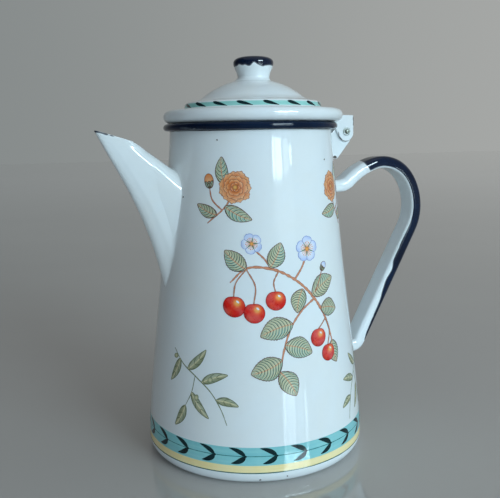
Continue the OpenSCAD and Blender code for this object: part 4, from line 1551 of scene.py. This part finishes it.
def marigold_sprig(name, th, z, mirror=False, turn=0.0, size=1.0):
    art = Art(BODY, math.radians(th), z, turn, size, mirror)
    stem(art, 1, [(3, -3), (-1.5, -9.5), (-8, -15), (-11, -17.5)], 0.6, seed=61)
    stem(art, 1, [(-2.5, -10.5), (-8.5, -4.5), (-9.8, 1.5)], 0.45, seed=62)
    leaf(art, 2, (-1.0, -8.6), (13.5, -15.5), 7.2, -0.8, 0, 6, "mint", "sage", seed=63, full=0.42)
    leaf(art, 2, (-5.5, -13), (-17.5, -7.5), 6.4, 0.8, 0, 6, seed=64, full=0.42)
    leaf(art, 2, (-1.0, 2.5), (-3.0, 17.5), 7.0, 1.0, 0, 6, "mint", "sage", seed=65, full=0.45)
    marigold(art, 3, (4.5, 1.5), 8.8, 66)
    c = np.array((4.5, 1.5))
    art.fill("wash", 10, ellipse(c, 1.5, 1.4, 20, 16), lambda p: mixc(HUE["amber"], HUE["rust"], np.clip(np.hypot(*(p - c).T) / 1.5, 0, 1)), 0.5)
    bud(art, 3, (-10.2, 5.0), 3.6, 2.7, 98, 67)
    return art.build(name, {"wash": M_PAINT, "line": M_LINE})


def olive_twig(name, th, z, mirror=False, turn=0.0, size=1.0, dim=1.0):
    art = Art(BODY, math.radians(th), z, turn, size, mirror)
    p = dict(a="olive", b="sage", edge="vine", rib="straw", vein="vine", veins=3, full=0.40, dim=dim)
    art.stroke("line", 2, curve([(-19, 17), (-12, 10), (-3, 4.5), (7, -3), (14, -13), (17, -20)], 50), 0.55, HUE["vine"] * dim, 0.8, (0.6, 0.6), seed=71)
    art.stroke("line", 2, curve([(-3, 4.5), (-5, -5), (-9, -13)], 30), 0.42, HUE["vine"] * dim, 0.8, (1, 0.5), seed=72)
    leaf(art, 2, (-14, 12), (-21.5, -1.5), 4.6, 0.8, seed=73, **p)
    leaf(art, 2, (-8, 7.5), (3.5, 19.5), 4.8, -0.9, seed=74, **p)
    leaf(art, 2, (1.5, 1.5), (16.5, 7.0), 4.8, 0.8, seed=75, **p)
    leaf(art, 2, (-5.0, -5), (6.5, -17.5), 4.6, -0.8, seed=76, **p)
    leaf(art, 2, (-9.0, -13), (-16.5, -25.5), 5.0, 0.9, seed=77, **p)
    leaf(art, 2, (10.5, -7), (23.0, -9.5), 4.4, 0.8, seed=78, **p)
    for c, t in (((-17.5, 13.0), 200), ((6.5, 3.6), 60), ((-1.6, -7.2), 250)):
        c = np.array(c)
        art.fill("wash", 6, ellipse(c, 1.7, 1.25, t, 22), lambda q, c=c: mixc(HUE["straw"], HUE["moss"], np.clip(np.hypot(*(q - c).T) / 1.7, 0, 1)) * dim, 0.5)
        art.stroke("line", 7, ellipse(c, 1.7, 1.25, t, 22), 0.18, HUE["vine"] * dim, 0.4, closed=True, seed=79)
    return art.build(name, {"wash": M_PAINT, "line": M_LINE})


marigold_sprig("sprig_marigold_front", -130.0, 157)
branch("sprig_cherry_front", -95.0, 92)
olive_twig("sprig_olive_front", -144.0, 53)
marigold_sprig("sprig_marigold_right", -47.0, 154, mirror=True, turn=-14)
olive_twig("sprig_olive_right", -45.5, 44, mirror=True, turn=8, size=0.9)
branch("sprig_cherry_back", 84.0, 92, mirror=True)
marigold_sprig("sprig_marigold_back", 128.0, 157, turn=10)
olive_twig("sprig_olive_back", 136.0, 50, turn=-15)
olive_twig("sprig_olive_handle_side", 42.0, 150, turn=20, size=0.8)


# ---------------------------------------------------------------- chips in the enamel
def chips(name, surf, radius, spots):
    """Small bare places with ragged edges, each a thin closed patch on the enamel."""
    art = Art(surf, 0.0, 0.0)
    art.lean = 1.0
    for i, (th, z, r) in enumerate(spots):
        w = wobble(200 + i, 5, 0.8, 2.2)
        R = float(radius(z))
        o = []
        for t in np.linspace(0, 2 * pi, 18, endpoint=False):
            q = r * (1 + 0.30 * float(w(math.cos(t), math.sin(t))))
            o.append((math.radians(th) * R + q * 1.2 * math.cos(t), z + q * math.sin(t)))
        art.fill("bare", 1, o, lambda p: np.tile((0.05, 0.045, 0.04), (len(p), 1)), 0.25)
    # angles are laid out at each spot's own radius, so they are put back one by one
    for k, (layer, pts, tris, col) in enumerate(art.groups["bare"]):
        R = float(radius(spots[k][1]))
        pts[:, 0] = pts[:, 0] / R
    art.place = lambda p: (np.asarray(p)[:, 0], np.asarray(p)[:, 1])
    art.build(name, {"bare": M_CHIP_AND_SHADE})


def foot_radius(z):
    return 57.96 + np.sqrt(np.maximum(48.86 - (7.0 - np.asarray(z, float)) ** 2, 0.0))


chips("enamel_chips", BODY, R_OF, [(-163.1, 152.7, 0.45), (-136.7, 183.0, 0.40), (-58.0, 171.5, 0.5), (70.0, 186.0, 0.45)])
chips("enamel_chips_foot", Round(foot_radius), foot_radius, [(-112.9, 3.3, 0.5), (-99.6, 4.4, 0.4), (20.0, 3.6, 0.6), (140.0, 3.9, 0.5), (168.0, 4.8, 0.45)])


# ---------------------------------------------------------------- floor, light and camera
def floor_material():
    m = Mat("floor_pale")
    c = m.mix(m.ramp(m.noise(1.6, 4, 0.55), 0.35, 0.65), (0.455, 0.435, 0.42), (0.49, 0.47, 0.45))
    away = m.n("ShaderNodeVectorMath")
    away.operation = "LENGTH"
    m.l(m.co, away.inputs[0])
    side = m.n("ShaderNodeVectorMath")
    side.operation = "DOT_PRODUCT"
    m.l(m.co, side.inputs[0])
    side.inputs[1].default_value = (0.906, -0.423, 0.0)
    # painted light: the floor's colour grows much brighter away from the pot, and brighter still towards the window
    # side right of the camera, so that the far floor meets the lit wall
    far = m.mix(m.ramp(side.outputs["Value"], -2.5, 2.0, 0.0, 1.0), (0.84, 0.83, 0.82), (1.0, 0.99, 0.98))
    c = m.mix(m.ramp(away.outputs["Value"], 0.35, 3.5, 0.0, 1.0, True), c, far)
    m.color(c)
    m.b.inputs["Roughness"].default_value = 0.045
    m.b.inputs["IOR"].default_value = 1.7
    m.l(m.bump(m.noise(240, 3, 0.6), 0.00002), m.b.inputs["Normal"])
    return m.m


def floor():
    me = bpy.data.meshes.new("floor")
    s, n = 6.0, 8
    xs = np.linspace(-s, s, n + 1)
    verts = [(x, y, -0.0001) for y in xs for x in xs]
    faces = [(j * (n + 1) + i, j * (n + 1) + i + 1, (j + 1) * (n + 1) + i + 1, (j + 1) * (n + 1) + i) for j in range(n) for i in range(n)]
    me.from_pydata(verts, [], faces)
    me.materials.append(floor_material())
    ob = bpy.data.objects.new("floor", me)
    bpy.context.scene.collection.objects.link(ob)


floor()


def from_camera(x, y, z=0.0):
    """A point or direction given across, away and up as the camera stands, in the pot's frame."""
    c, s = math.cos(math.radians(25)), math.sin(math.radians(25))
    return Vector((x * c + y * s, -x * s + y * c, z))


def camera():
    yaw, pitch, roll = math.radians(-0.188), math.radians(9.22), math.radians(-0.906)
    fw = Vector((math.sin(yaw) * math.cos(pitch), math.cos(yaw) * math.cos(pitch), -math.sin(pitch)))
    rt = fw.cross(Vector((0, 0, 1))).normalized()
    up = rt.cross(fw)
    r2 = math.cos(roll) * rt + math.sin(roll) * up
    u2 = -math.sin(roll) * rt + math.cos(roll) * up
    cam = bpy.data.cameras.new("camera")
    cam.sensor_fit = "HORIZONTAL"
    cam.sensor_width = 36
    cam.lens = 673.9 / 500 * 36
    cam.clip_start, cam.clip_end = 0.01, 60
    ob = bpy.data.objects.new("camera", cam)
    bpy.context.scene.collection.objects.link(ob)
    x, y, z = (from_camera(*v) for v in (r2, u2, -fw))
    from mathutils import Matrix
    m = Matrix((x, y, z)).transposed().to_4x4()
    m.translation = from_camera(0, -399.6, 182.9) * MM
    ob.matrix_world = m
    bpy.context.scene.camera = ob


camera()


def area(name, az, el, dist, w, h, power, color, aim=(0, 0, 0.11)):
    """A soft light seen from the pot at an azimuth to the right of the camera and an elevation."""
    a, e = math.radians(az), math.radians(el)
    d = from_camera(math.sin(a) * math.cos(e), -math.cos(a) * math.cos(e), math.sin(e))
    at = Vector(aim) + d * dist
    light = bpy.data.lights.new(name, "AREA")
    light.shape = "RECTANGLE"
    light.size, light.size_y = w, h
    light.energy = power
    light.color = color
    ob = bpy.data.objects.new(name, light)
    bpy.context.scene.collection.objects.link(ob)
    ob.location = at
    ob.rotation_euler = (-d).to_track_quat("-Z", "Y").to_euler()
    ob.visible_camera = False
    return ob


# a window to the right of the camera, the bright room behind it, and sky light from above
for k, (a0, a1, e0, e1, strength) in enumerate(((29.3, 32.9, 6.7, 22.0, 11.5), (33.7, 42.2, 6.7, 22.0, 10.5), (44.2, 51.6, 6.7, 22.0, 3.5), (53.2, 56.6, 8.0, 22.0, 10.0), (30.0, 56.0, 2.0, 6.4, 0.9), (30.0, 56.0, 18.0, 27.0, 40.0))):
    wide = 12 * math.tan(math.radians((a1 - a0) / 2))
    high = 12 * math.tan(math.radians((e1 - e0) / 2))
    pane = area("window_%d" % k, (a0 + a1) / 2, (e0 + e1) / 2, 6.0, wide, high, strength * pi * wide * high, (0.70, 0.90, 1.0))
    pane.visible_diffuse = k < 5
soft = area("window_soft", 41, 19, 2.2, 1.0, 1.0, 10.5, (0.64, 0.87, 1.0))
room = area("room", 66, 10, 2.4, 2.4, 2.0, 14, (0.67, 0.88, 1.0))
front = area("front", -6, 7, 3.0, 1.6, 1.6, 21, (0.66, 0.85, 1.0))
for light in (soft, room, front):
    light.visible_glossy = False
area("sky", -10, 78, 2.4, 3.0, 3.0, 7, (0.95, 0.98, 1.0))


def world():
    """Grey surroundings: the wall behind the pot, darker to the left of the camera than to its right."""
    w = bpy.data.worlds.new("studio")
    bpy.context.scene.world = w
    w.use_nodes = True
    t = w.node_tree
    t.nodes.clear()
    out = t.nodes.new("ShaderNodeOutputWorld")
    bg = t.nodes.new("ShaderNodeBackground")
    co = t.nodes.new("ShaderNodeTexCoord")

    def facing(direction):
        x = t.nodes.new("ShaderNodeVectorMath")
        x.operation = "DOT_PRODUCT"
        t.links.new(co.outputs["Generated"], x.inputs[0])
        x.inputs[1].default_value = direction
        return x.outputs["Value"]

    def mixed(value, lo, hi, a, b):
        ramp = t.nodes.new("ShaderNodeMapRange")
        ramp.interpolation_type = "SMOOTHSTEP"
        t.links.new(value, ramp.inputs[0])
        ramp.inputs[1].default_value, ramp.inputs[2].default_value = lo, hi
        mix = t.nodes.new("ShaderNodeMix")
        mix.data_type = "RGBA"
        t.links.new(ramp.outputs[0], mix.inputs[0])
        for k, v in ((6, a), (7, b)):
            if isinstance(v, bpy.types.NodeSocket):
                t.links.new(v, mix.inputs[k])
            else:
                mix.inputs[k].default_value = v + (1,)
        return mix.outputs[2]

    side = mixed(facing(from_camera(1, 0)), -0.85, 0.6, (0.062, 0.058, 0.055), (0.25, 0.262, 0.262))
    wall = mixed(facing(from_camera(1, 0)), -0.5, 0.5, (0.235, 0.255, 0.255), (0.385, 0.395, 0.385))
    t.links.new(mixed(facing(from_camera(0, 1)), 0.45, 0.85, side, wall), bg.inputs[0])
    bg.inputs[1].default_value = 1.0
    t.links.new(bg.outputs[0], out.inputs[0])


world()
bpy.context.scene.view_settings.view_transform = "Standard"
bpy.context.scene.view_settings.look = "None"
